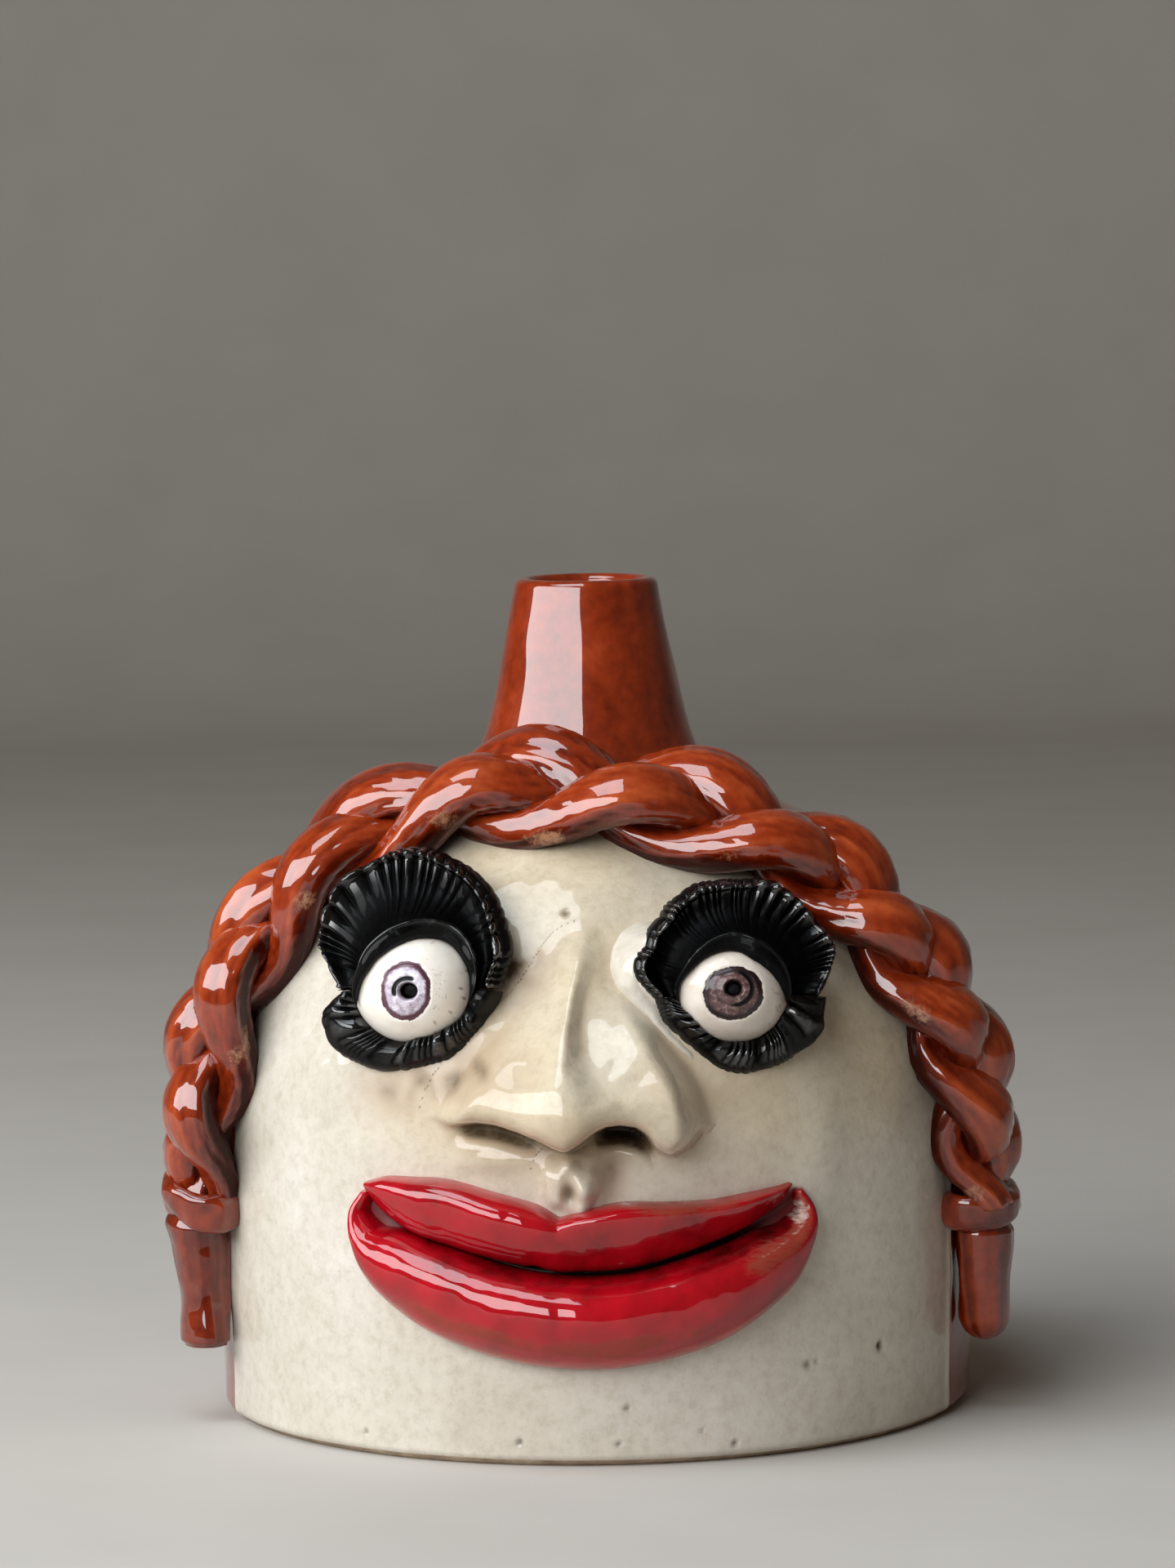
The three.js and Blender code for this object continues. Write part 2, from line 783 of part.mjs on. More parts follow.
function upperLid(side, growth) {
  const frame = eyeFrame(side);
  const reach = eyes[side].ball + lidRoll + lidClearance;
  const radius = Math.sqrt(reach * reach - lidForward * lidForward);
  const loops = [];
  for (let step = 0; step <= lidSteps; step++) {
    const angle = THREE.MathUtils.lerp(lidEnds[0], lidEnds[1], step / lidSteps);
    const taper = step === 0 || step === lidSteps ? lidEndShare : 1;
    const squash = THREE.MathUtils.lerp(1, ballFlattening, Math.abs(Math.sin(angle * degrees)));
    const centre = eyePoint(frame, angle, radius * squash, lidForward);
    const radial = eyePoint(frame, angle, 1, 0).sub(frame.centre);
    const size = lidRoll * taper + growth;
    loops.push(ellipse(centre, radial, frame.forward, size, size, lidSides));
  }
  return loft(loops);
}

// Lash: a ridged fan of clay that starts beside the ball and spreads outwards.
function lash(side, edge, lean, frontInner, growth) {
  const frame = eyeFrame(side);
  const first = edge[0][0];
  const last = edge[edge.length - 1][0];
  const ball = eyes[side].ball;
  const inner = ball + lashInnerGap;
  const loops = [];
  for (let step = 0; step <= lashStations; step++) {
    const angle = THREE.MathUtils.lerp(first, last, step / lashStations);
    const ended = step === 0 || step === lashStations;
    const ridge = (step % 2 === 0 ? lashRidge : -lashRidge) * lashRidgeReach;
    const squash = THREE.MathUtils.lerp(1, lashSquash, Math.abs(Math.sin(angle * degrees)));
    const near = inner * squash;
    const far = Math.max(ball + tableValue(edge, angle) + ridge, near + lashLeastWidth);
    const share = (far - near) / lashWidthScale;
    const height = Math.max(Math.sin(angle * degrees), 0);
    const outerAhead = frontInner - lean * share * (lean > 0 ? height : 1);
    const thick = (ended ? lashEndShare : 1) * lashThickness + growth * 2;
    const middle = (near + far) / 2;
    const middleAhead = (frontInner + outerAhead) / 2 + lashSwell;
    const edgeThick = Math.min(thick * lashEdgeShare, (far - near + 1) * lashSwell);
    loops.push([
      eyePoint(frame, angle, near - growth, frontInner + growth),
      eyePoint(frame, angle, middle, middleAhead + growth + ridge),
      eyePoint(frame, angle, far + growth, outerAhead + growth + ridge),
      eyePoint(frame, angle, far - ridge + growth, outerAhead - edgeThick),
      eyePoint(frame, angle, middle, middleAhead - thick),
      eyePoint(frame, angle, near - growth, frontInner - thick),
    ]);
  }
  return loft(loops);
}

function upperLash(side, growth) {
  return lash(side, upperLashEdge[side], upperLashLean[side], upperLashForward, growth);
}

function lowerLash(side, growth) {
  return lash(side, lowerLashEdge[side], lowerLashLean, lowerLashForward, growth);
}

// Nose: level slices that rise from the wall, widest across the nostrils.
function nose() {
  const loops = noseSections.map(([level, left, right, ridge, rise]) => {
    const height = overShoulder(level);
    const loop = [];
    for (let side = 0; side < noseSides; side++) {
      const angle = (Math.PI * side) / (noseSides - 1);
      const reach = Math.cos(angle) < 0 ? ridge - left : right - ridge;
      const x = ridge + reach * Math.cos(angle);
      const wall = Math.sqrt(Math.max(bodyRadius(height) ** 2 - x * x, 0));
      const swell = Math.max(Math.sin(angle), 0);
      const lift = rise * swell ** noseRoundness - noseSeat * (1 - swell);
      loop.push(new THREE.Vector3(x, -(wall + lift), height));
    }
    loop.push(new THREE.Vector3(ridge, -(bodyRadius(height) - 2 * noseSeat), height));
    return loop;
  });
  let solid = loft(loops);
  for (const nostril of nostrils) {
    const hole = new THREE.SphereGeometry(1, 12, 8);
    const height = noseFoot + nostrilOverFoot;
    const wall = Math.sqrt(bodyRadius(height) ** 2 - nostril.across ** 2);
    const matrix = new THREE.Matrix4().makeScale(...nostril.size);
    matrix.setPosition(nostril.across, -(wall + nostril.lift), height);
    solid = solid.subtract(solidOf(hole, matrix));
  }
  return solid;
}

function philtrumRidge(growth) {
  const { azimuth, halfWidth, halfHeight, rise } = philtrum;
  const height = noseFoot - philtrumGap - halfHeight;
  const geometry = new THREE.SphereGeometry(1, 14, 10);
  const out = bodyNormal(azimuth, height);
  const right = new THREE.Vector3(Math.cos(azimuth * degrees), Math.sin(azimuth * degrees), 0);
  const up = new THREE.Vector3().crossVectors(out, right).normalize();
  const matrix = new THREE.Matrix4().makeBasis(right, up, out);
  matrix.scale(new THREE.Vector3(halfWidth + growth, halfHeight + growth, rise + growth));
  matrix.setPosition(onBody(azimuth, height, 0));
  return solidOf(geometry, matrix);
}

// Lip: a coil pressed on the wall, its section set by the two edges and the rise at each station.
function lip(stations, growth) {
  const loops = stations.map(([azimuth, upper, lower, rise], index) => {
    const top = overShoulder(upper);
    const bottom = overShoulder(lower);
    const before = stations[Math.max(index - 1, 0)];
    const after = stations[Math.min(index + 1, stations.length - 1)];
    const middle = (top + bottom) / 2;
    const reach = bodyRadius(middle) * degrees;
    const run = (after[0] - before[0]) * reach;
    const climb = (after[1] + after[2] - before[1] - before[2]) / 2;
    const length = Math.hypot(run, climb);
    const right = new THREE.Vector3(Math.cos(azimuth * degrees), Math.sin(azimuth * degrees), 0);
    const out = bodyNormal(azimuth, middle);
    const up = new THREE.Vector3().crossVectors(out, right).normalize();
    const across = up.clone().multiplyScalar(run / length).addScaledVector(right, -climb / length);
    const share = Math.max(Math.abs(run / length), lipCornerShare);
    const half = ((top - bottom) / 2) * share + growth;
    const thick = rise + lipSeat + growth;
    return ellipse(onBody(azimuth, middle, -lipSeat), across, out, half, thick, lipSides);
  });
  return loft(loops);
}

// Triangles of the largest connected body, so that a cut leaves no loose crumbs.
function largestBody(triVerts, count) {
  const leader = Array.from({ length: count }, (_, vertex) => vertex);
  const find = (vertex) => {
    while (leader[vertex] !== vertex) vertex = leader[vertex] = leader[leader[vertex]];
    return vertex;
  };
  for (let index = 0; index < triVerts.length; index += 3) {
    leader[find(triVerts[index])] = find(triVerts[index + 1]);
    leader[find(triVerts[index + 1])] = find(triVerts[index + 2]);
  }
  const bodies = new Map();
  for (let index = 0; index < triVerts.length; index += 3) {
    const body = find(triVerts[index]);
    if (!bodies.has(body)) bodies.set(body, []);
    bodies.get(body).push(triVerts[index], triVerts[index + 1], triVerts[index + 2]);
  }
  return [...bodies.values()].reduce((best, body) => (body.length > best.length ? body : best));
}

// Geometry of a finished solid.
function geometryOf(solid) {
  const mesh = solid.getMesh();
  const places = [];
  for (let vertex = 0; vertex < mesh.vertProperties.length; vertex += mesh.numProp) {
    places.push(...mesh.vertProperties.slice(vertex, vertex + 3));
  }
  const geometry = new THREE.BufferGeometry();
  geometry.setAttribute("position", new THREE.Float32BufferAttribute(places, 3));
  geometry.setIndex(largestBody(mesh.triVerts, places.length / 3));
  return geometry;
}

const jug = new THREE.Group();
jug.name = "face_jug";

function add(name, solid, material) {
  const geometry = geometryOf(solid);
  geometry.computeVertexNormals();
  const mesh = new THREE.Mesh(geometry, material);
  mesh.name = name;
  jug.add(mesh);
}

const envelope = bodyEnvelope();
const neckRoom = neckEnvelope();
const seat = (solid) => solid.subtract(envelope);

add("base_slab", baseSlab(), rawClay);
add("head_shell", headShell(), creamGlaze);
add("neck", neck(), brownGlaze);

for (let index = 0; index < 3; index++) {
  let solid = strand(index, 0);
  if (index > 0) solid = solid.subtract(strand(0, pieceGap));
  if (index > 1) solid = solid.subtract(strand(1, pieceGap));
  add(`braid_strand_${index + 1}`, seat(solid).subtract(neckRoom), brownGlaze);
}
for (const side of ["left", "right"]) {
  add(`${side}_braid_tie`, seat(tie(side)).subtract(tail(side, pieceGap)), brownGlaze);
  add(`${side}_braid_tail`, seat(tail(side, 0)), brownGlaze);
}

for (const side of ["left", "right"]) {
  const ballRoom = eyeball(side, pieceGap);
  const socketRoom = eyeSocket(side, pieceGap);
  const lidRoom = upperLid(side, pieceGap);
  const upperRoom = upperLash(side, pieceGap);
  add(`${side}_eyeball`, seat(eyeball(side, 0)), eyeGlaze);
  add(`${side}_eye_socket`, seat(eyeSocket(side, 0)).subtract(ballRoom), creamGlaze);
  add(`${side}_upper_lid`, upperLid(side, 0).subtract(ballRoom).subtract(socketRoom), blackGlaze);
  const upper = upperLash(side, 0).subtract(ballRoom).subtract(socketRoom).subtract(lidRoom);
  add(`${side}_upper_lash`, seat(upper), blackGlaze);
  const lower = lowerLash(side, 0).subtract(ballRoom).subtract(socketRoom).subtract(lidRoom);
  add(`${side}_lower_lash`, seat(lower).subtract(upperRoom), blackGlaze);
}

add("nose", seat(nose()), creamGlaze);
add("philtrum_ridge", seat(philtrumRidge(0)).subtract(lip(upperLipStations, pieceGap)), creamGlaze);
add("upper_lip", seat(lip(upperLipStations, 0)), redGlaze);
add("lower_lip", seat(lip(lowerLipStations, 0)).subtract(lip(upperLipStations, pieceGap)), redGlaze);

export default jug;
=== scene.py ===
# Looks of the hand-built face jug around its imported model: fine glazed surfaces for every piece,
# procedural glazes, a plain studio and a camera at the photograph's angle.
# Shapes are worked out in millimetres and turned into metres when a mesh is made.
# Left and right are the viewer's, as in the part: left pieces lie on the -X side.

import math

import bpy
import numpy as np
from mathutils import Matrix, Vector
from mathutils.geometry import delaunay_2d_cdt


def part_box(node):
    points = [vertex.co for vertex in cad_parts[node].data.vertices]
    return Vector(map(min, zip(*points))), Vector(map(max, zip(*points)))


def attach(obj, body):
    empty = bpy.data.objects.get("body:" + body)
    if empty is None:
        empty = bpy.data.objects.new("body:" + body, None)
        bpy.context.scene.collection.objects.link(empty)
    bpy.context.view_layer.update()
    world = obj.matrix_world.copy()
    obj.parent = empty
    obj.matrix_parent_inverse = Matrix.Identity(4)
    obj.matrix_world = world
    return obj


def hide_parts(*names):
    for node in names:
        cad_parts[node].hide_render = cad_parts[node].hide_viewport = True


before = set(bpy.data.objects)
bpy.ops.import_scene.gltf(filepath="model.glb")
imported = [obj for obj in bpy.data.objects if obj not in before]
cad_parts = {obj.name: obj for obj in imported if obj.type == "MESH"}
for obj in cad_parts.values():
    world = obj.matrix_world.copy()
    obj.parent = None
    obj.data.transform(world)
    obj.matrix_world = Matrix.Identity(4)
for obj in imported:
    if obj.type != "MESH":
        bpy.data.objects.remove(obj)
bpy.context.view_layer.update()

MILLIMETRE = 0.001

# Camera at the photograph's angle; lengths in millimetres, the image in pixels
CAMERA_PLACE = (0.0, -1300.0, 250.0)
CAMERA_PITCH = 5.46
CAMERA_ROLL = 0.8
FOCAL_PIXELS = 7860
FRAME_WIDTH = 1439
FRAME_HEIGHT = 1920
SENSOR = 36
SHIFT_RIGHT = 2.1
SHIFT_DOWN = -0.3
CLIP_START = 0.01

# Body of the jug
WALL_RADIUS = 77
FOOT_LEAN = 1
FOOT_ROUNDING = 2.5
SHOULDER = 62
DOME_RISE = 69.5
WALL_THICKNESS = 6
FLOOR_THICKNESS = 7
THROAT_RADIUS = 18
CONE_FOOT_RADIUS = 22.24
NECK_FLARE = 5.2
NECK_FLARE_REACH = 4.6
SLOPE_REACH = 0.4

JUG_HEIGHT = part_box("neck")[1].z / MILLIMETRE
RIM_RADIUS = 14.6
RIM_ROLL = 1.8
NECK_FOOT_RADIUS = CONE_FOOT_RADIUS + NECK_FLARE
DOME_CUT = SHOULDER + DOME_RISE * math.sqrt(1 - (NECK_FOOT_RADIUS / WALL_RADIUS) ** 2)
RIM_LEVEL = JUG_HEIGHT - RIM_ROLL
NECK_TAPER = (CONE_FOOT_RADIUS - RIM_RADIUS) / (RIM_LEVEL - DOME_CUT)

# Edges of the cream glaze on the wall, in degrees from the front
CREAM_LEFT = -72.2
CREAM_RIGHT = 67.8
RAW_FOOT_HEIGHT = 0.9

# Plait: path over the body as azimuth and elevation in degrees, then its weave
PLAIT_PATH = [
    (-73.5, -13.3), (-72, -5), (-70, 8.3), (-68, 20.2), (-66, 30.2), (-62, 40.9), (-53, 51.6),
    (-37, 60), (-16, 61.7), (6, 60.4), (26, 55.4), (42, 47.2), (53, 35.6), (58.5, 24.7), (63, 13.3),
    (67, 0), (70, -9.9), (71, -15.9),
]
PLAIT_LIFT = 5.4
FACE_SWAY = 6.8
SIDE_SWAY = 3.7
CROWN_SWAY = 9.4
CROWN_SHARPNESS = 6
PLAIT_WEAVE = 4.3
STRAND_HALF_WIDTH = 6.8
STRAND_HALF_THICKNESS = 4.9
GATHER_LENGTH = 16
GATHERED_SPREAD = 0.66
GATHERED_SIZE = 0.8
OPEN_SIZE = 0.94
FULL_SIZE = 1.04
FACE_LOBES = [-62, -38, -14, 10, 36, 64, 98, 131, 161, 191, 213, 233, 254, 276, 298]
NECK_LOBES = [-50, -26, -2, 22, 46, 76, 110, 146, 176, 202, 223, 244, 265, 287]
TIE_LENGTH = 7.5
TIE_HALF_WIDTH = 10
TIE_HALF_THICKNESS = 7.2
WAIST_HALF_WIDTH = 7.4
WAIST_HALF_THICKNESS = 4.7
PIECE_GAP = 0.3

# Tails: azimuth, half width and lift at the top and foot, height of the foot, how much thicker the
# top is than the foot, how strong the combed lines are, how dark it is, and its lumps
TAILS = {
    "left": dict(azimuth=(-75.5, -73.5), width=(8.4, 7), lift=(0.9, 0.3), foot=16, plump=1.1, combed=0.5,
                 dark=0.45, lumps=[(1.4, 9, 75), (0.25, 3.6, 76)]),
    "right": dict(azimuth=(71, 72), width=(8, 4.4), lift=(0.4, 0.3), foot=15, plump=0.5, combed=1.0,
                  dark=0.0, lumps=[(0.6, 7, 77)]),
}
TAIL_HALF_THICKNESS = 5.6
# How far the top of a tail reaches up into its tie
TAIL_TUCK = 2.4

# Eyes: azimuth, level over the shoulder, distance in front of the wall, gaze and ball radius
EYES = {
    "left": dict(azimuth=-28.28, level=30.6, lift=2.41, turn=-17, tilt=7, ball=12.4),
    "right": dict(azimuth=21.79, level=29.6, lift=2.27, turn=13, tilt=7, ball=11.7),
}
BALL_FLATTENING = 0.91

# Lips: azimuth, upper and lower edge as levels over the shoulder, and rise
UPPER_LIP = [
    (-35, -7.0, -9.2, 1.8), (-32, -5.6, -13.0, 3.8), (-26.5, -5.4, -17.0, 5.6), (-21, -5.8, -19, 6.4),
    (-15, -7.8, -21.2, 6.8), (-9, -10, -22.8, 6.6), (-5.2, -12.4, -23.6, 5.8), (-1, -11, -23.6, 6.6),
    (5, -9.8, -23, 6.8), (11, -10, -21, 6.6), (17, -10, -18.6, 6), (22, -9.2, -16.2, 5.2),
    (26.5, -8.4, -13, 3.6), (29.5, -7.8, -9.6, 1.6),
]
LOWER_LIP = [
    (-35, -7.6, -11.2, 2.4), (-36, -10.4, -16.6, 4.6), (-34.4, -12.4, -23.6, 6.2),
    (-31, -14, -30, 7.6), (-25.5, -17, -35.2, 8.6), (-19, -20.2, -38.8, 9.4), (-12, -22.8, -41.2, 9.8),
    (-5, -24.2, -42.4, 10), (2, -24.4, -42.6, 10), (9, -23, -41.4, 9.8), (16, -20.4, -39, 9.4),
    (22, -17.4, -35.2, 8.6), (27.4, -13.6, -30, 7.4), (30.6, -11.2, -23.2, 6),
    (31.6, -10.2, -16.4, 4.4), (30.6, -7.8, -11.4, 2.4),
]
LIP_SEAT = 0.6
LIP_CORNER_SHARE = 0.62
MOUTH_MIDDLE = -2
# Parting of the lips: pixel across, pixel down and half width of the slot
MOUTH_LINE = [
    (459, 1468, 1.2), (470, 1483, 1.9), (487, 1497, 2.1), (515, 1514, 2.2), (545, 1527, 2.2),
    (590, 1542, 2.4), (640, 1556, 2.4), (689, 1561, 1.8), (730, 1561, 1.5), (775, 1557, 2.2),
    (847, 1536, 2.4), (914, 1507, 2.2), (950, 1486, 1.8), (972, 1468, 1.0),
]


# Numbers and smooth shapes


def smoothstep(value, low, high):
    share = np.clip((value - low) / (high - low), 0, 1)
    return share * share * (3 - 2 * share)


def lerp(low, high, share):
    return low + (high - low) * share


def window(value, rise, fall):
    """One between two ramps: it rises over the first pair of places and falls over the second."""
    return smoothstep(value, *rise) * (1 - smoothstep(value, *fall))


def bell(value, middle, width):
    """Rounded bump of height one at its middle, about a third as high one width away."""
    return np.exp(-(((value - middle) / width) ** 2))


def around(count):
    """Even angles round a full turn."""
    return np.linspace(0, 2 * math.pi, count, endpoint=False)


def unit(vectors):
    length = np.linalg.norm(vectors, axis=-1, keepdims=True)
    return vectors / np.maximum(length, 1e-9)


def lattice(x, y, z, seed):
    """Repeatable value between -1 and 1 for each whole-numbered place."""
    mixed = (x * 374761393 + y * 668265263 + z * 974634777 + seed * 1274126177) & 0xFFFFFFFF
    mixed = ((mixed ^ (mixed >> 13)) * 1274126177) & 0xFFFFFFFF
    return ((mixed ^ (mixed >> 16)) & 0xFFFFFF) / 0x7FFFFF - 1


def noise(points, size, seed=0):
    """Smooth value noise whose lumps are about as large as size."""
    place = np.asarray(points, float) / size
    cell = np.floor(place).astype(np.int64)
    inside = place - cell
    inside = inside * inside * (3 - 2 * inside)
    total = 0
    for dx in (0, 1):
        for dy in (0, 1):
            for dz in (0, 1):
                weight = np.where(dx, inside[..., 0], 1 - inside[..., 0])
                weight = weight * np.where(dy, inside[..., 1], 1 - inside[..., 1])
                weight = weight * np.where(dz, inside[..., 2], 1 - inside[..., 2])
                corner = lattice(cell[..., 0] + dx, cell[..., 1] + dy, cell[..., 2] + dz, seed)
                total = total + weight * corner
    return total


def layers(points, *sets):
    """Sum of noises, each given as its strength, size and seed."""
    return sum(strength * noise(points, size, seed) for strength, size, seed in sets)


def wound(turn, along, radius):
    """Places on a cylinder, so that noise can follow a coil: angle round it and distance along it."""
    return np.stack(np.broadcast_arrays(np.cos(turn) * radius, np.sin(turn) * radius, along), -1)


def blur(field, sigma):
    """Gaussian blur of a grid, sigma in cells."""
    reach = int(3 * sigma) + 1
    offsets = np.arange(-reach, reach + 1)
    weights = np.exp(-0.5 * (offsets / sigma) ** 2)
    weights /= weights.sum()
    padded = np.pad(field, ((reach, reach), (0, 0)), mode="edge")
    down = sum(w * padded[i : i + field.shape[0]] for i, w in enumerate(weights))
    padded = np.pad(down, ((0, 0), (reach, reach)), mode="edge")
    return sum(w * padded[:, i : i + field.shape[1]] for i, w in enumerate(weights))


def smooth_table(table, at):
    """Columns of a table at places between its first ones, along a smooth curve."""
    table = np.array(sorted(table), float)
    keys = table[:, 0]
    at = np.clip(at, keys[0], keys[-1])
    row = np.clip(np.searchsorted(keys, at, side="right") - 1, 0, len(keys) - 2)
    span = keys[row + 1] - keys[row]
    share = (at - keys[row]) / span
    slopes = np.gradient(table[:, 1:], keys, axis=0)
    a = table[row, 1:]
    b = table[row + 1, 1:]
    ta = slopes[row] * span[..., None]
    tb = slopes[row + 1] * span[..., None]
    s = share[..., None]
    cubic = 2 * s**3 - 3 * s**2
    return a * (cubic + 1) + ta * (s**3 - 2 * s**2 + s) - b * cubic + tb * (s**3 - s**2)


def through(points, count):
    """Even samples of a smooth curve through rows of values."""
    points = np.asarray(points, float)
    keys = np.arange(len(points))
    table = [(key, *row) for key, row in zip(keys, points)]
    return smooth_table(table, np.linspace(0, len(points) - 1, count))


# What the camera sees at a pixel of the photograph


def camera_axes():
    pitch = math.radians(CAMERA_PITCH)
    roll = math.radians(CAMERA_ROLL)
    ahead = np.array([0, math.cos(pitch), -math.sin(pitch)])
    level = np.array([1.0, 0, 0])
    above = np.array([0, math.sin(pitch), math.cos(pitch)])
    right = level * math.cos(roll) - above * math.sin(roll)
    up = level * math.sin(roll) + above * math.cos(roll)
    return right, up, ahead


def sight(pixels):
    """Unit vectors from the camera through pixels of the photograph."""
    pixels = np.asarray(pixels, float)
    right, up, ahead = camera_axes()
    aside = pixels[..., 0] - FRAME_WIDTH / 2 - SHIFT_RIGHT
    down = pixels[..., 1] - FRAME_HEIGHT / 2 - SHIFT_DOWN
    return unit(ahead * FOCAL_PIXELS + right * aside[..., None] - up * down[..., None])


def seen_at_depth(pixels, depth):
    """Across and height of pixels on the upright plane this far in front of the jug's middle."""
    way = sight(pixels)
    start = np.array(CAMERA_PLACE)
    point = start + way * ((-depth - start[1]) / way[..., 1])[..., None]
    return point[..., 0], point[..., 2]


def seen_on_plane(pixels, origin, normal):
    way = sight(pixels)
    start = np.array(CAMERA_PLACE)
    return start + way * (((origin - start) @ normal) / (way @ normal))[..., None]


# Surface of the body


def body_radius(height):
    height = np.asarray(height, float)
    rise = np.clip((height - SHOULDER) / DOME_RISE, 0, 0.99999)
    low = np.maximum(height, 0)
    edge = np.maximum(1 - low / FOOT_ROUNDING, 0)
    wall = WALL_RADIUS - FOOT_LEAN * (1 - low / SHOULDER) - FOOT_ROUNDING * edge * edge
    return np.where(height > SHOULDER, WALL_RADIUS * np.sqrt(1 - rise * rise), wall)


def body_normal(azimuth, height):
    rise = body_radius(height + SLOPE_REACH) - body_radius(height - SLOPE_REACH)
    slope = rise / (2 * SLOPE_REACH)
    length = np.hypot(1, slope)
    turn = np.radians(azimuth)
    normal = np.stack([np.sin(turn) / length, -np.cos(turn) / length, -slope / length + 0 * turn], -1)
    return unit(normal)


def on_body(azimuth, height, offset=0.0):
    azimuth, height = np.broadcast_arrays(np.asarray(azimuth, float), np.asarray(height, float))
    turn = np.radians(azimuth)
    radius = body_radius(height)
    point = np.stack([radius * np.sin(turn), -radius * np.cos(turn), height], -1)
    return point + body_normal(azimuth, height) * np.asarray(offset)[..., None]


def height_at(elevation):
    return SHOULDER + DOME_RISE * np.sin(np.radians(elevation))


# Meshes


def grid_faces(rows, columns, wrap_rows=False):
    """Four-cornered faces of a grid whose columns close on themselves."""
    row = np.arange(rows if wrap_rows else rows - 1)
    row, column = np.meshgrid(row, np.arange(columns), indexing="ij")
    below = (row + 1) % rows
    beside = (column + 1) % columns
    corners = [(row, column), (row, beside), (below, beside), (below, column)]
    corners = [at_row * columns + at_column for at_row, at_column in corners]
    return np.stack(corners, -1).reshape(-1, 4)


def signed_volume(points, faces):
    total = 0.0
    for face in (faces[:, [0, 1, 2]], faces[:, [0, 2, 3]]):
        a, b, c = points[face[:, 0]], points[face[:, 1]], points[face[:, 2]]
        total += np.einsum("ij,ij->i", a, np.cross(b, c)).sum()
    return total


def tube(centre, across, out, wide, thick):
    """Loops round a line of centres, from grids of distances along two directions."""
    return centre[:, None] + across[:, None] * wide[..., None] + out[:, None] * thick[..., None]


def coil(centre, across, out, wide, thick, swell, theta):
    """Tube of this half width and half thickness, swollen all round by a grid of lumps."""
    wide = (wide[:, None] + swell) * np.cos(theta)
    thick = (thick[:, None] + swell) * np.sin(theta)
    return tube(centre, across, out, wide, thick)


def add_piece(name, points, faces, materials, nodes, values=None, normals=None, slots=None):
    """New object that stands for CAD nodes: points in millimetres, faces as rows of four corners."""
    points = np.asarray(points, float)
    faces = np.asarray(faces)
    if signed_volume(points, faces) < 0:
        faces = faces[:, ::-1]
    rows = [[corner for i, corner in enumerate(row) if corner != row[i - 1]] for row in faces.tolist()]
    mesh = bpy.data.meshes.new(name)
    mesh.from_pydata((points * MILLIMETRE).tolist(), [], rows)
    mesh.polygons.foreach_set("use_smooth", [True] * len(rows))
    for material in materials:
        mesh.materials.append(material)
    if slots is not None:
        mesh.polygons.foreach_set("material_index", np.asarray(slots, np.int32))
    for key, value in (values or {}).items():
        layer = mesh.attributes.new(key, "FLOAT", "POINT")
        layer.data.foreach_set("value", np.asarray(value, np.float32).ravel())
    mesh.update()
    if normals is not None:
        mesh.normals_split_custom_set_from_vertices(unit(normals).tolist())
    piece = bpy.data.objects.new(name, mesh)
    bpy.context.scene.collection.objects.link(piece)
    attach(piece, "root")
    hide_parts(*nodes)
    return piece


def add_loft(name, loops, materials, nodes, values=None, ring=False):
    """Piece through rows of loops, closed at both ends by a hub unless it is a ring."""
    loops = np.asarray(loops, float)
    rows, sides = loops.shape[:2]
    faces = grid_faces(rows, sides, wrap_rows=ring)
    points = loops.reshape(-1, 3)
    values = {key: np.asarray(value, float).reshape(-1) for key, value in (values or {}).items()}
    if not ring:
        hubs = np.stack([loops[0].mean(0), loops[-1].mean(0)])
        first = np.full(sides, len(points))
        last = (rows - 1) * sides
        side = np.arange(sides)
        beside = (side + 1) % sides
        head = np.stack([first, first, beside, side], -1)
        tail = np.stack([first + 1, first + 1, last + side, last + beside], -1)
        points = np.concatenate([points, hubs])
        faces = np.concatenate([faces, head, tail])
        for key, value in values.items():
            values[key] = np.append(value, [value[:sides].mean(), value[-sides:].mean()])
    return add_piece(name, points, faces, materials, nodes, values)


# Materials


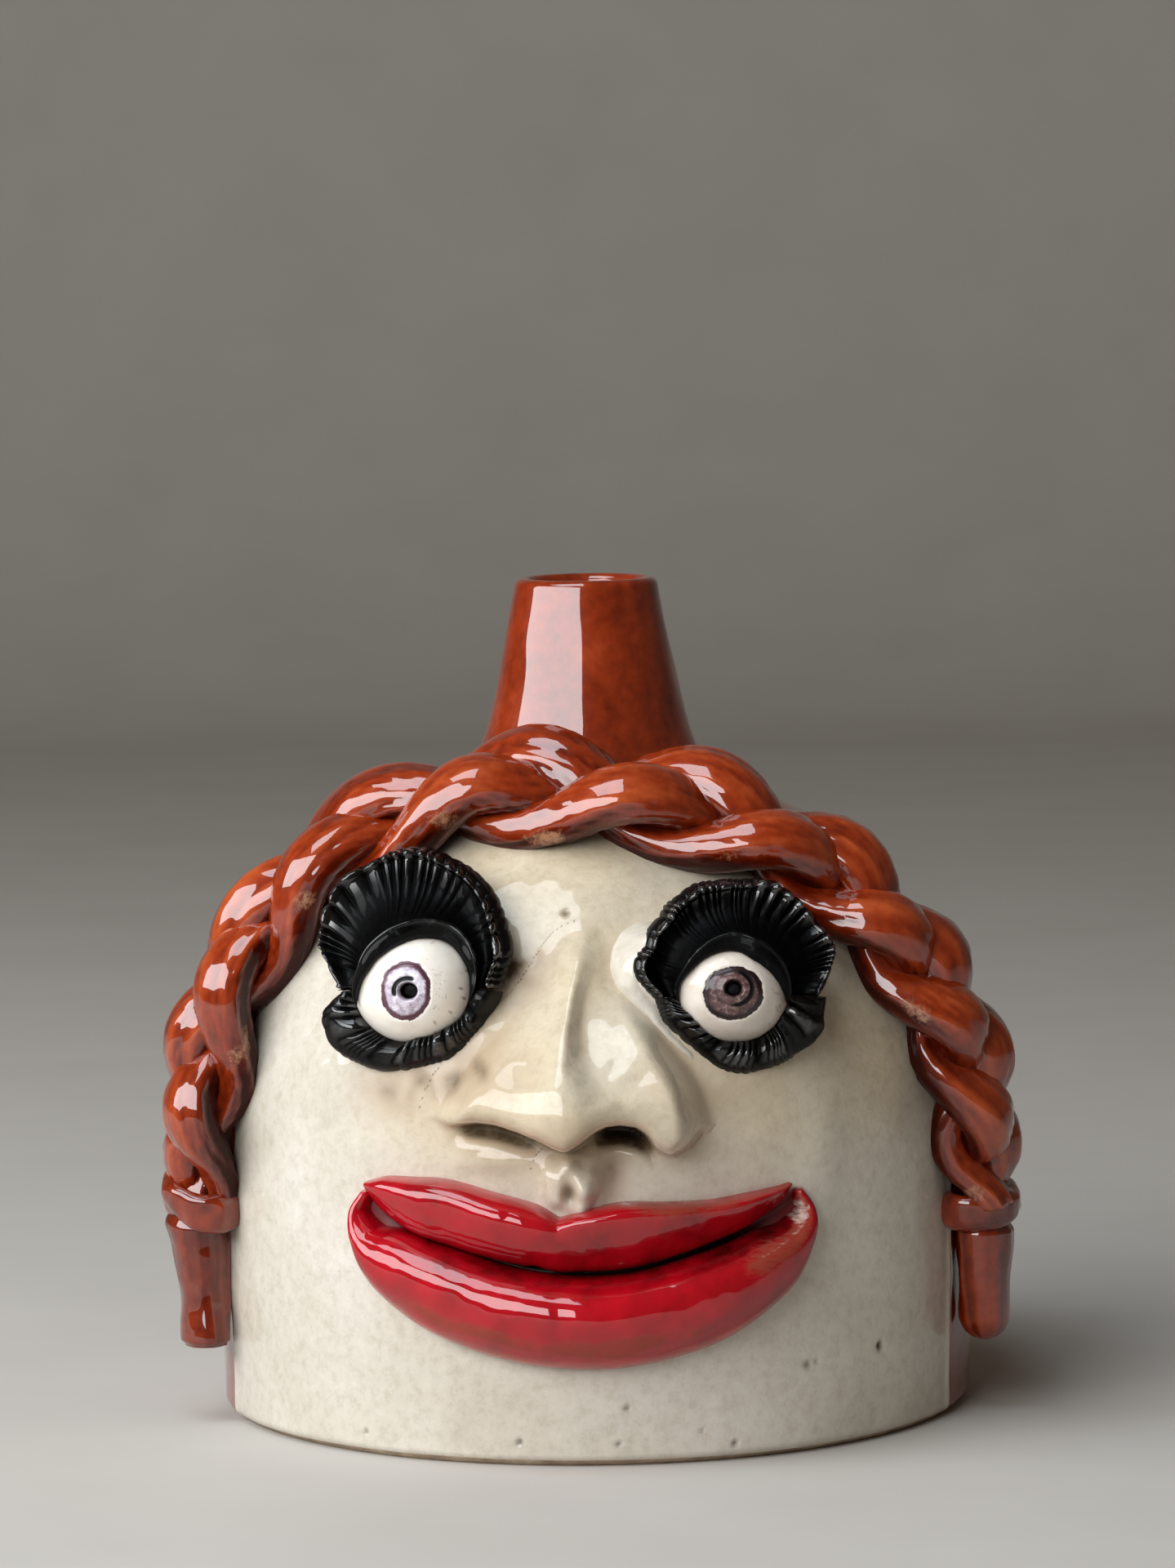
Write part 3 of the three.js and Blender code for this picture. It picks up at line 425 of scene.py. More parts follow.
class Glaze:
    """A node material: one Principled shader and the textures that feed it."""

    def __init__(self, name, **sockets):
        self.material = bpy.data.materials.new(name)
        self.material.use_nodes = True
        self.tree = self.material.node_tree
        self.shader = self.tree.nodes["Principled BSDF"]
        for key, value in sockets.items():
            self.shader.inputs[key.replace("_", " ").title().replace("Ior", "IOR")].default_value = value
        self.place = self.tree.nodes.new("ShaderNodeTexCoord").outputs["Object"]

    def link(self, source, target):
        self.tree.links.new(source, target)

    def set_or_link(self, socket, value):
        """Gives a socket a colour or a number, or links the source that comes instead of one."""
        if isinstance(value, tuple):
            socket.default_value = (*value, 1)
        elif isinstance(value, (int, float)):
            socket.default_value = value
        else:
            self.link(value, socket)

    def feed(self, key, source):
        self.link(source, self.shader.inputs[key])

    def attribute(self, name):
        node = self.tree.nodes.new("ShaderNodeAttribute")
        node.attribute_name = name
        return node.outputs["Fac"]

    def noise(self, size, detail=3.0, roughness=0.55, stretch=(1, 1, 1)):
        mapping = self.tree.nodes.new("ShaderNodeMapping")
        mapping.inputs["Scale"].default_value = stretch
        self.link(self.place, mapping.inputs["Vector"])
        node = self.tree.nodes.new("ShaderNodeTexNoise")
        node.inputs["Scale"].default_value = 1 / (size * MILLIMETRE)
        node.inputs["Detail"].default_value = detail
        node.inputs["Roughness"].default_value = roughness
        self.link(mapping.outputs["Vector"], node.inputs["Vector"])
        return node.outputs["Fac"]

    def specks(self, size):
        node = self.tree.nodes.new("ShaderNodeTexVoronoi")
        node.inputs["Scale"].default_value = 1 / (size * MILLIMETRE)
        self.link(self.place, node.inputs["Vector"])
        return node.outputs["Distance"]

    def math(self, operation, first, second, clamp=False):
        node = self.tree.nodes.new("ShaderNodeMath")
        node.operation = operation
        node.use_clamp = clamp
        for socket, value in zip(node.inputs, (first, second)):
            self.set_or_link(socket, value)
        return node.outputs[0]

    def weighted(self, *terms, plus=0.0):
        """Sum of sources, each times its weight, and of a constant."""
        total = None
        for source, weight in terms:
            part = source if weight == 1 else self.math("MULTIPLY", source, weight)
            total = part if total is None else self.math("ADD", total, part)
        return self.math("ADD", total, plus) if plus else total

    def ramp(self, source, stops):
        """Colour or grey by a value: stops are places with a colour or a number."""
        node = self.tree.nodes.new("ShaderNodeValToRGB")
        elements = node.color_ramp.elements
        while len(elements) < len(stops):
            elements.new(0.5)
        for element, (place, colour) in zip(elements, stops):
            element.position = place
            if isinstance(colour, (int, float)):
                colour = (colour, colour, colour)
            element.color = (*colour, 1)
        self.link(source, node.inputs["Fac"])
        return node.outputs["Color"]

    def mix(self, share, first, second, blend="MIX"):
        node = self.tree.nodes.new("ShaderNodeMix")
        node.data_type = "RGBA"
        node.blend_type = blend
        sockets = [node.inputs["Factor"], node.inputs[6], node.inputs[7]]
        for socket, value in zip(sockets, (share, first, second)):
            self.set_or_link(socket, value)
        return node.outputs[2]

    def bump(self, source, depth, over=None):
        node = self.tree.nodes.new("ShaderNodeBump")
        node.inputs["Strength"].default_value = 1.0
        node.inputs["Distance"].default_value = depth * MILLIMETRE
        self.link(source, node.inputs["Height"])
        if over is not None:
            self.link(over, node.inputs["Normal"])
        return node.outputs["Normal"]


# Colours of the glazes, alone or as stops along a ramp
CREAM_BODY = [(0.3, (0.57, 0.515, 0.43)), (0.5, (0.63, 0.583, 0.50)), (0.7, (0.67, 0.63, 0.56))]
CREAM_GRAIN = [(0.32, (0.86, 0.84, 0.79)), (0.5, (0.98, 0.98, 0.97)), (0.7, (1.06, 1.06, 1.05))]
CREAM_WARM = (0.98, 0.90, 0.76)
FLECK = (0.30, 0.235, 0.16)
# Brown of stains and of painted shade, light where faint and dark where strong
STAIN_AND_SHADE = [(0.3, (0.38, 0.225, 0.135)), (0.8, (0.13, 0.085, 0.045))]
# Red of the lips' inner sides round the parting, darkened as painted shade
MOUTH_RED_AND_SHADE = (0.16, 0.016, 0.018)
# Near black of the dark pits and of painted shadow in the right nostril and the parting of the lips
PIT_AND_SHADOW_BLACK = (0.016, 0.009, 0.007)
TERRACOTTA = [
    (0.08, (0.030, 0.0022, 0.0004)), (0.34, (0.120, 0.0095, 0.0010)),
    (0.54, (0.260, 0.0260, 0.0035)), (0.82, (0.440, 0.0750, 0.0180)),
]
BARE_CLAY = (0.46, 0.23, 0.13)
CRIMSON = [(0.02, (0.08, 0.0004, 0.0010)), (0.36, (0.33, 0.0008, 0.006)), (0.7, (0.47, 0.0012, 0.010))]
WORN_CRIMSON = (0.27, 0.068, 0.040)
CHIPPED_CRIMSON = (0.66, 0.50, 0.43)
BLACK = [(0.3, (0.0003, 0.0003, 0.0004)), (0.66, (0.0016, 0.0018, 0.0021)), (0.9, (0.05, 0.055, 0.058))]
EYE_COLOURS = {
    "left": dict(
        ivory=[(0.3, (0.88, 0.81, 0.71)), (0.6, (0.94, 0.89, 0.81))],
        fill=[(0.34, (0.34, 0.27, 0.34)), (0.5, (0.62, 0.55, 0.64)), (0.66, (0.86, 0.82, 0.90))],
        outline=(0.10, 0.036, 0.055),
    ),
    "right": dict(
        # The right eye's ivory is darker than the left's: painted shade
        ivory=[(0.3, (0.62, 0.55, 0.47)), (0.6, (0.72, 0.65, 0.57))],
        fill=[(0.34, (0.045, 0.020, 0.020)), (0.52, (0.115, 0.058, 0.056)), (0.68, (0.36, 0.24, 0.23))],
        outline=(0.016, 0.006, 0.008),
    ),
}
PUPIL_INK = (0.0015, 0.0010, 0.0012)
EYE_GRIME_AND_SHADE = (0.20, 0.11, 0.07)
RAW_CLAY = [(0.3, (0.24, 0.17, 0.115)), (0.55, (0.40, 0.30, 0.21)), (0.75, (0.52, 0.41, 0.30))]


def cream_glaze():
    glaze = Glaze("cream_glaze", roughness=0.5, coat_roughness=0.05, coat_ior=1.58, specular_ior_level=0.25)
    cloud = glaze.noise(30, detail=4)
    mottle = glaze.noise(2.4, detail=5, roughness=0.7)
    colour = glaze.mix(1.0, glaze.ramp(cloud, CREAM_BODY), glaze.ramp(mottle, CREAM_GRAIN), "MULTIPLY")
    colour = glaze.mix(glaze.attribute("warmth"), colour, CREAM_WARM, "MULTIPLY")
    lumps = glaze.noise(2.3, detail=1)
    rare = glaze.math("MULTIPLY", glaze.specks(1.5), glaze.weighted((lumps, 1), plus=0.35))
    colour = glaze.mix(glaze.ramp(rare, [(0.0, 0.35), (0.04, 0.25), (0.08, 0.0)]), colour, FLECK)
    # Brown stains, with painted shade in the nostrils, the creases, under the nose and round the eyes
    stain_and_shade = glaze.attribute("stain_and_shade")
    stain_and_shade_share = glaze.math("MULTIPLY", stain_and_shade, glaze.weighted((mottle, 1.2), plus=0.4), clamp=True)
    colour = glaze.mix(stain_and_shade_share, colour, glaze.ramp(stain_and_shade, STAIN_AND_SHADE))
    # Red of the lips' inner sides round the parting, darkened as painted shade
    mouth_red_and_shade = glaze.attribute("mouth_red_and_shade")
    colour = glaze.mix(mouth_red_and_shade, colour, MOUTH_RED_AND_SHADE)
    # Dark pits, and painted shadow in the right nostril and the parting of the lips
    dark_pits_and_shadow = glaze.attribute("dark_pits_and_shadow")
    glaze.feed("Base Color", glaze.mix(dark_pits_and_shadow, colour, PIT_AND_SHADOW_BLACK))
    # Less coat on the stains, the painted shade and the painted shadow
    dark_marks = glaze.math("MAXIMUM", glaze.math("MAXIMUM", stain_and_shade, dark_pits_and_shadow), mouth_red_and_shade)
    glaze.feed("Coat Weight", glaze.ramp(dark_marks, [(0.15, 0.7), (0.7, 0.05)]))
    glaze.feed("Roughness", glaze.ramp(mottle, [(0.3, 0.5), (0.7, 0.36)]))
    broad = glaze.bump(glaze.noise(5), 0.12)
    glaze.feed("Normal", glaze.bump(glaze.noise(0.8), 0.05, broad))
    return glaze.material


def terracotta_glaze():
    glaze = Glaze("terracotta_glaze", roughness=0.4, coat_weight=1.0, coat_roughness=0.03, coat_ior=1.75,
                  specular_ior_level=0.08)
    shade = glaze.attribute("shade")
    cloud = glaze.noise(12, detail=4)
    streak = glaze.noise(2.6, detail=4)
    depth = glaze.weighted((shade, 0.24), (cloud, 0.35), (streak, 0.34), plus=0.14)
    colour = glaze.ramp(depth, TERRACOTTA)
    crumbs = glaze.noise(1.1, detail=4, roughness=0.75)
    bare = glaze.math("MULTIPLY", glaze.attribute("bare"), crumbs)
    thin = glaze.ramp(bare, [(0.24, 0.0), (0.42, 0.8)])
    glaze.feed("Base Color", glaze.mix(thin, colour, BARE_CLAY))
    coat = glaze.weighted((shade, 0.5), plus=1.0)
    glaze.feed("Coat Weight", glaze.ramp(coat, [(0.3, 0.15), (0.8, 1.0)]))
    glaze.feed("Roughness", glaze.ramp(cloud, [(0.3, 0.24), (0.7, 0.36)]))
    broad = glaze.bump(glaze.noise(4), 0.14)
    glaze.feed("Normal", glaze.bump(glaze.noise(1.1, detail=2), 0.02, broad))
    return glaze.material


def red_glaze():
    glaze = Glaze("red_glaze", roughness=0.5, coat_roughness=0.035, coat_ior=1.66, specular_ior_level=0.04)
    cloud = glaze.noise(7, detail=4, roughness=0.6)
    colour = glaze.ramp(glaze.weighted((glaze.attribute("shade"), 0.3), (cloud, 1)), CRIMSON)
    scratch = glaze.noise(0.9, detail=5, roughness=0.75, stretch=(0.4, 0.4, 1.6))
    worn = glaze.math("MULTIPLY", glaze.attribute("worn"), scratch)
    rub = glaze.ramp(worn, [(0.26, 0.0), (0.46, 0.62)])
    colour = glaze.mix(rub, colour, WORN_CRIMSON)
    pale = glaze.math("MULTIPLY", glaze.attribute("pale"), scratch)
    chips = glaze.ramp(pale, [(0.24, 0.0), (0.42, 0.85)])
    glaze.feed("Base Color", glaze.mix(chips, colour, CHIPPED_CRIMSON))
    glaze.feed("Coat Weight", glaze.ramp(rub, [(0.1, 1.0), (0.6, 0.45)]))
    glaze.feed("Normal", glaze.bump(glaze.noise(2.4), 0.08))
    return glaze.material


def black_glaze():
    glaze = Glaze("black_glaze", roughness=0.5, coat_roughness=0.08, coat_ior=1.8, specular_ior_level=0.06)
    cloud = glaze.noise(2.2, detail=4)
    depth = glaze.weighted((glaze.attribute("shade"), 0.3), (cloud, 1))
    glaze.feed("Base Color", glaze.ramp(depth, BLACK))
    glaze.feed("Roughness", glaze.ramp(cloud, [(0.3, 0.4), (0.7, 0.6)]))
    glaze.feed("Coat Weight", glaze.math("MULTIPLY", glaze.attribute("gloss"), 1.0, clamp=True))
    glaze.feed("Normal", glaze.bump(glaze.noise(0.9), 0.10))
    return glaze.material


def eye_glaze(side):
    """Ivory ball with a painted iris: the iris attribute is 1 on its outline and 0 at its middle."""
    glaze = Glaze(f"{side}_eye_glaze", roughness=0.45, coat_roughness=0.08, coat_ior=1.48,
                  specular_ior_level=0.25)
    colours = EYE_COLOURS[side]
    ragged = glaze.math("SUBTRACT", glaze.noise(1.0, detail=4), 0.5)
    reach = glaze.weighted((glaze.attribute("iris"), 1), (ragged, 0.14))
    cloud = glaze.noise(1.2, detail=5, roughness=0.7)
    edge = glaze.ramp(reach, [(0.74, 0.0), (0.83, 1.0)])
    colour = glaze.mix(edge, glaze.ramp(cloud, colours["fill"]), colours["outline"])
    outside = glaze.ramp(reach, [(0.98, 0.0), (1.0, 1.0)])
    colour = glaze.mix(outside, colour, glaze.ramp(glaze.noise(4, detail=4), colours["ivory"]))
    ink = glaze.attribute("ink")
    colour = glaze.mix(glaze.ramp(ink, [(0.2, 0.0), (0.5, 1.0)]), colour, PUPIL_INK)
    glaze.feed("Coat Weight", glaze.ramp(ink, [(0.1, 0.75), (0.5, 0.0)]))
    patchy = glaze.weighted((cloud, 1), plus=0.4)
    # Specks and painted shade on the ball
    grime_and_shade = glaze.math("MULTIPLY", glaze.attribute("stain_and_shade"), patchy, clamp=True)
    glaze.feed("Base Color", glaze.mix(grime_and_shade, colour, EYE_GRIME_AND_SHADE))
    glaze.feed("Normal", glaze.bump(glaze.noise(2), 0.06))
    return glaze.material


def raw_clay():
    glaze = Glaze("raw_clay", roughness=0.85)
    glaze.feed("Base Color", glaze.ramp(glaze.noise(5, detail=5, roughness=0.65), RAW_CLAY))
    glaze.feed("Normal", glaze.bump(glaze.noise(0.8, detail=4), 0.12))
    return glaze.material


cream = cream_glaze()
terracotta = terracotta_glaze()
red = red_glaze()
black = black_glaze()
clay = raw_clay()


# Eyes: frame of each eye, used by the wall as well


def eye_frame(side):
    eye = EYES[side]
    turn = math.radians(eye["turn"])
    tilt = math.radians(eye["tilt"])
    level = math.cos(tilt)
    forward = np.array([math.sin(turn) * level, -math.cos(turn) * level, math.sin(tilt)])
    right = np.array([math.cos(turn), math.sin(turn), 0.0])
    up = np.cross(forward, right)
    height = SHOULDER + eye["level"]
    reach = float(body_radius(height)) + eye["lift"]
    away = math.radians(eye["azimuth"])
    centre = np.array([reach * math.sin(away), -reach * math.cos(away), height])
    return centre, forward, right, up


EYE_FRAMES = {side: eye_frame(side) for side in EYES}


def eye_points(side, angle, radius, ahead):
    centre, forward, right, up = EYE_FRAMES[side]
    angle = np.radians(angle)[..., None]
    flat = right * np.cos(angle) + up * np.sin(angle)
    return centre + flat * np.asarray(radius)[..., None] + forward * np.asarray(ahead)[..., None]


def eye_coordinates(side, points):
    """Right, up and forward distances of points from an eye's centre."""
    centre, forward, right, up = EYE_FRAMES[side]
    away = points - centre
    return away @ right, away @ up, away @ forward


# Wall of the head, with the nose and the philtrum ridge drawn out of it
FACE_COLUMN_STEP = 0.38
BACK_COLUMN_STEP = 2.5
FACE_LEFT = -80
FACE_RIGHT = 77
FOOT_ROWS = 7
STRAIGHT_ROWS = 114
DOME_ROWS = 146


def wall_columns():
    face = np.arange(FACE_LEFT, FACE_RIGHT, FACE_COLUMN_STEP)
    back = np.arange(FACE_RIGHT, FACE_LEFT + 360, BACK_COLUMN_STEP)
    return np.concatenate([face, back])


def wall_rows():
    foot = np.linspace(0, FOOT_ROUNDING, FOOT_ROWS)
    straight = np.linspace(FOOT_ROUNDING, SHOULDER, STRAIGHT_ROWS)[1:]
    top = math.asin((DOME_CUT - SHOULDER) / DOME_RISE)
    dome = SHOULDER + DOME_RISE * np.sin(np.linspace(0, top, DOME_ROWS)[1:])
    return np.concatenate([foot, straight, dome])


# Nose, read off the photograph: pixel across, pixel down and height over the wall, line by line
NOSE_OUTLINE = [
    (716, 1126, 0), (738, 1146, 0), (752, 1172, 0), (766, 1204, 0), (788, 1240, 0), (816, 1284, 0),
    (841, 1314, 0), (858, 1344, 0), (869, 1380, 0), (864, 1412, 0), (846, 1440, 0), (800, 1450, 9),
    (765, 1440, 11.5), (735, 1444, 12.5), (692, 1462, 13.5), (650, 1446, 12.5), (600, 1430, 10),
    (558, 1416, 7), (534, 1400, 0), (531, 1374, 0), (541, 1350, 0), (560, 1322, 0), (588, 1288, 0),
    (622, 1252, 0), (650, 1212, 0), (664, 1180, 0), (682, 1150, 0), (700, 1132, 0), (716, 1126, 0),
]
NOSE_BRIDGE = [
    (716, 1146, 1.2), (709, 1180, 4.2), (702, 1215, 7.0), (697, 1250, 9.6), (693, 1285, 12.4),
    (690, 1315, 14.6), (687, 1343, 16.2), (687, 1370, 16.6), (690, 1400, 15.4), (692, 1430, 14.0),
]
NOSE_VALLEY = [
    (732, 1168, 1.2), (722, 1197, 2.2), (712, 1226, 3.4), (708, 1256, 4.8), (712, 1286, 7.2),
    (722, 1312, 9.8), (739, 1334, 11.6), (760, 1350, 12.4),
]
NOSE_TIP_RIGHT = [
    (704, 1322, 14.0), (708, 1346, 15.6), (709, 1370, 16.2), (708, 1396, 15.2),
]
NOSE_RIGHT_WING = [
    (762, 1224, 3.2), (782, 1260, 6.6), (800, 1292, 9.8), (817, 1320, 12.4), (829, 1344, 13.6),
    (835, 1368, 13.4), (835, 1392, 11.6), (826, 1416, 9.0),
]
NOSE_LEFT_WING = [
    (641, 1262, 5.2), (615, 1298, 7.8), (593, 1326, 9.8), (577, 1346, 10.6), (564, 1362, 9.8),
    (557, 1382, 7.8),
]
NOSE_LEFT_FOLD = [
    (652, 1312, 11.2), (632, 1340, 12.2), (616, 1362, 12.0), (608, 1386, 11.0),
]
NOSE_LEFT_CHEEK = [
    (668, 1338, 15.2), (659, 1366, 15.6), (655, 1396, 14.4),
]
NOSE_LINES = [
    NOSE_OUTLINE,
    NOSE_BRIDGE,
    NOSE_VALLEY,
    NOSE_RIGHT_WING,
    NOSE_LEFT_WING,
    NOSE_LEFT_FOLD,
    NOSE_LEFT_CHEEK,
    NOSE_TIP_RIGHT,
]
# Lower edge of the nose, from wing to wing, with the nostrils arching up under the wings
NOSE_FOOT = [
    (538, 1372, 3), (551, 1382, 7), (583, 1381, 9.5), (605, 1384, 10.5), (633, 1394, 12.5),
    (659, 1405, 14), (675, 1414, 14.5), (692, 1420, 14.5), (709, 1410, 14.5), (728, 1395, 14),
    (742, 1388, 13.5), (760, 1386, 13), (780, 1389, 12.5), (793, 1398, 12), (802, 1412, 11),
    (822, 1421, 9.5), (842, 1408, 7), (858, 1384, 3),
]
# Pits in the glaze: pixel across, pixel down, radius and depth
PITS = [
    (1080, 1648, 0.85, 1.0), (990, 1671, 0.8, 0.5), (1000, 1667, 0.5, 0.35), (768, 1725, 0.55, 0.5),
    (636, 1767, 0.65, 0.6), (758, 1769, 0.5, 0.5), (900, 1767, 0.6, 0.6), (447, 1753, 0.5, 0.5),
    (860, 1752, 0.4, 0.4), (693, 1118, 0.75, 0.6),
]
# Nose: blurs in cells, grain, and how far its skin turns in along the lower edge
NOSE_BLUR = 1.5
NOSE_SPREAD = 5.0
NOSE_LAST_BLUR = 0.8
NOSE_GRAIN = (0.3, 6, 131)
NOSE_TURN_IN = 1.9
# Nostrils, each a pixel, a half width and a reach downwards, and how deep they go
LEFT_NOSTRIL = ((608, 1390), 7.2, 5.4)
RIGHT_NOSTRIL = ((764, 1390), 4.9, 6.2)
LEFT_NOSTRIL_DEPTH = 2.3
RIGHT_NOSTRIL_DEPTH = 4.4
# Hollow and lumps of the wall: depth or height, pixel, half width and half height, and how square it is
BESIDE_NOSTRIL = (1.3, (751, 1434), 3.9, 7.0)
UNDER_NOSTRIL = (0.7, (606, 1425), 7.5, 2.2)
PHILTRUM = [
    (3.9, (699, 1452), 5.4, 6.6, 2.8),
    (1.7, (720, 1463), 2.3, 3.8),
    (0.8, (678, 1436), 2.8, 3.4),
    (-2.3, (698, 1457), 1.6, 2.4),
]
PHILTRUM_GRAIN = (0.9, 2.4, 133)
# The right cheek, then the bead of slip under the plait
SWELLINGS = [
    (0.9, (1010, 1430), 6, 16), (0.9, (746, 1031), 3.0, 1.2), (0.9, (765, 1041), 3.0, 1.2),
    (0.9, (786, 1049), 3.0, 1.2),
]
# How quickly a lump falls off
LUMP_FALL = 1.4
# Hand-made unevenness of the wall: strength, size and seed
HAND_PRESS = [(0.6, 36, 3), (0.22, 13, 5), (0.07, 4, 6)]
# How far behind an eye its hollow reaches, and how far round the wall the face does
EYE_REACH_BACK = -30
FACE_HALF_ANGLE = 80
# Parting of the lips: its depth at the middle and at the corners, and where the corners lie
PARTING_DEPTH = (3.4, 0.8)
MOUTH_CORNER = (22, 31)
# Heights above the foot over which the unevenness sets in
FOOT_CALM = (0, 3)
# Where the cream turns warm: level over the shoulder, azimuth at the left and at the right
WARM_LEVEL = (-16, 8)
WARM_LEFT = (-44, -24)
WARM_RIGHT = (44, 70)
WARM_SHARE = 0.85
WARM_CLOUD = (0.5, 16, 137)
# Ridge where the two glazes meet
BORDER_HEIGHT = 0.4
BORDER_WIDTH = 0.8
# Painted shade under the nose tip and under the nose, then a stain in the philtrum's dimple: strength, then
# as for a lump
NOSE_SHADE_AND_STAINS = [
    (0.36, (690, 1386), 14, 5.5, 2.4),
    (0.20, (650, 1425), 16, 6, 2.4),
    (0.75, (698, 1457), 2.4, 3.2),
]
# Brown stains with painted shade in the hollows round the eyes: side, place right and up of the eye's
# middle, size and strength
EYE_STAINS_AND_SHADE = [
    ("left", 18.5, 4.5, 6.0, 1.1),
    ("left", -2, -19, 8.5, 0.72),
    ("left", 13, -15, 8.5, 0.72),
    ("right", -3, -19, 7.0, 0.30),
    ("right", -14, -15, 5.0, 0.35),
]
EYE_MARK_SQUAT = 1.4
EYE_MARK_CLOUD = (0.45, 3, 135)
# Painted shade in the creases: blur in cells and strength
CREASE_BLUR = 5.0
CREASE_SHADE = 0.15


def seen_raised(stations):
    """Across and level of stations: pixels of places that stand this far in front of the wall."""
    stations = np.array(stations, float)
    depth = np.full(len(stations), 82.0)
    for _ in range(5):
        across, level = seen_at_depth(stations[:, :2], depth)
        depth = np.sqrt(np.maximum(body_radius(level) ** 2 - across**2, 1)) + stations[:, 2]
    return across, level


def planes_between(lines, x, z):
    """Height field of flat facets between lines of stations."""
    spots, heights, edges = [], [], []
    for line in lines:
        across, level = seen_raised(line)
        first = len(spots)
        spots += [(float(a), float(b)) for a, b in zip(across, level)]
        heights += [row[2] for row in line]
        edges += [(first + i, first + i + 1) for i in range(len(line) - 1)]
    corners, _, faces, origins, _, _ = delaunay_2d_cdt(spots, edges, [], 0, 1e-4)
    field = np.zeros_like(x)
    for face in faces:
        (ax, az), (bx, bz), (cx, cz) = [corners[i] for i in face]
        rise = [heights[origins[i][0]] if origins[i] else 0.0 for i in face]
        area = (bx - ax) * (cz - az) - (cx - ax) * (bz - az)
        if abs(area) < 1e-6:
            continue
        second = ((x - ax) * (cz - az) - (cx - ax) * (z - az)) / area
        third = ((bx - ax) * (z - az) - (x - ax) * (bz - az)) / area
        inside = (second >= -1e-6) & (third >= -1e-6) & (second + third <= 1 + 1e-6)
        value = rise[0] * (1 - second - third) + rise[1] * second + rise[2] * third
        field = np.where(inside, value, field)
    return field


def nose_field(x, z):
    nose = planes_between(NOSE_LINES, x, z)
    nose = blur(nose, NOSE_BLUR)
    left_side = 1 - smoothstep(x, -8, 0)
    nose = np.maximum(nose, blur(0.5 * left_side, NOSE_SPREAD) * blur(nose, NOSE_SPREAD))
    nose += layers(np.stack([x, 0 * x, z], -1), NOSE_GRAIN) * smoothstep(nose, 1, 6)
    foot_x, foot_z = seen_raised(NOSE_FOOT)
    level = np.interp(x, foot_x, foot_z)
    nose -= NOSE_TURN_IN * (1 - smoothstep(z - level, -0.2, 3.4)) * smoothstep(nose, 3, 8)
    nose = nose * smoothstep(z - level, -0.5, 0.6)
    return blur(nose, NOSE_LAST_BLUR), level


def lump_at(x, z, pixel, half_width, half_height, power=2.0):
    """Rounded lump of unit height at a pixel of the front."""
    across, level = seen_at_depth(np.array(pixel, float), WALL_RADIUS)
    away = ((x - across) / half_width) ** 2 + ((z - level) / half_height) ** 2
    return np.exp(-(away ** (power / 2)) * LUMP_FALL)


def hollow_under(x, below, pixel, half_width, reach):
    """Share of a nostril: full just under the nose's lower edge, fading downwards."""
    across, _ = seen_at_depth(np.array(pixel, float), WALL_RADIUS + 8)
    wide = np.exp(-(((x - across) / half_width) ** 4))
    return wide * smoothstep(below, -0.3, 0.8) * (1 - smoothstep(below, 0.3 * reach, reach))


def seen_on_body(pixels):
    """Place on the plain body behind pixels, as azimuth in degrees and height."""
    pixels = np.asarray(pixels, float)
    depth = np.full(pixels.shape[:-1], 70.0)
    way = sight(pixels)
    start = np.array(CAMERA_PLACE)
    for _ in range(12):
        point = start + way * ((-depth - start[1]) / way[..., 1])[..., None]
        room = body_radius(point[..., 2]) ** 2 - point[..., 0] ** 2
        depth = np.sqrt(np.maximum(room, 1))
    return np.degrees(np.arctan2(point[..., 0], -point[..., 1])), point[..., 2]


def plait_height(azimuth):
    path = np.array([(a, height_at(e)) for a, e in PLAIT_PATH])
    return np.interp(azimuth, path[:, 0], path[:, 1])


def eye_hollow(right, up):
    """Dip of the wall round an eye, which swells into a pouch under it."""
    distance = np.hypot(right, up)
    under = smoothstep(-up, -4, 9)
    dip = -1.0 * bell(distance, 20, 6.0)
    pouch = 2.2 * bell(distance, 0, 15.0)
    return lerp(dip, pouch, under)


def mouth_share(points, azimuth):
    """One on the parting of the lips, falling off within a few millimetres."""
    line = through(MOUTH_LINE, 110)
    around, height = seen_on_body(line[:, :2])
    best = np.zeros_like(azimuth)
    for place, width in zip(on_body(around, height), line[:, 2]):
        away = np.linalg.norm(points - place, axis=-1)
        best = np.maximum(best, bell(away, 0, width))
    return best


def under_nose(x, z, below, front):
    """Depth of the wall under the nose, and the share of each nostril and of the hollow beside one."""
    left = hollow_under(x, below, *LEFT_NOSTRIL)
    right = hollow_under(x, below, *RIGHT_NOSTRIL)
    beside_depth, *beside = BESIDE_NOSTRIL
    beside = lump_at(x, z, *beside) * front * smoothstep(below, 0, 2)
    lip_height, *lip = UNDER_NOSTRIL
    depth = LEFT_NOSTRIL_DEPTH * left + RIGHT_NOSTRIL_DEPTH * right + beside_depth * beside
    depth -= lip_height * lump_at(x, z, *lip) * front
    return depth, left, right, beside


def philtrum_field(x, z, points, nose, front):
    ridge = sum(height * lump_at(x, z, *shape) for height, *shape in PHILTRUM)
    ridge += layers(points, PHILTRUM_GRAIN) * smoothstep(ridge, 0.4, 2.0)
    return np.maximum(ridge, 0) * front * (1 - smoothstep(nose, 0.5, 4))


def pits_in(points):
    """Depth of the pits in the glaze, and how dark each is."""
    depth = np.zeros(points.shape[:-1])
    dark = np.zeros_like(depth)
    for across, down, size, deep in PITS:
        around, level = seen_on_body((across, down))
        away = np.linalg.norm(points - on_body(around, level), axis=-1)
        shape = bell(away, 0, size)
        depth = np.maximum(depth, shape * deep)
        dark = np.maximum(dark, shape * min(deep * 1.3, 1))
    return depth, dark


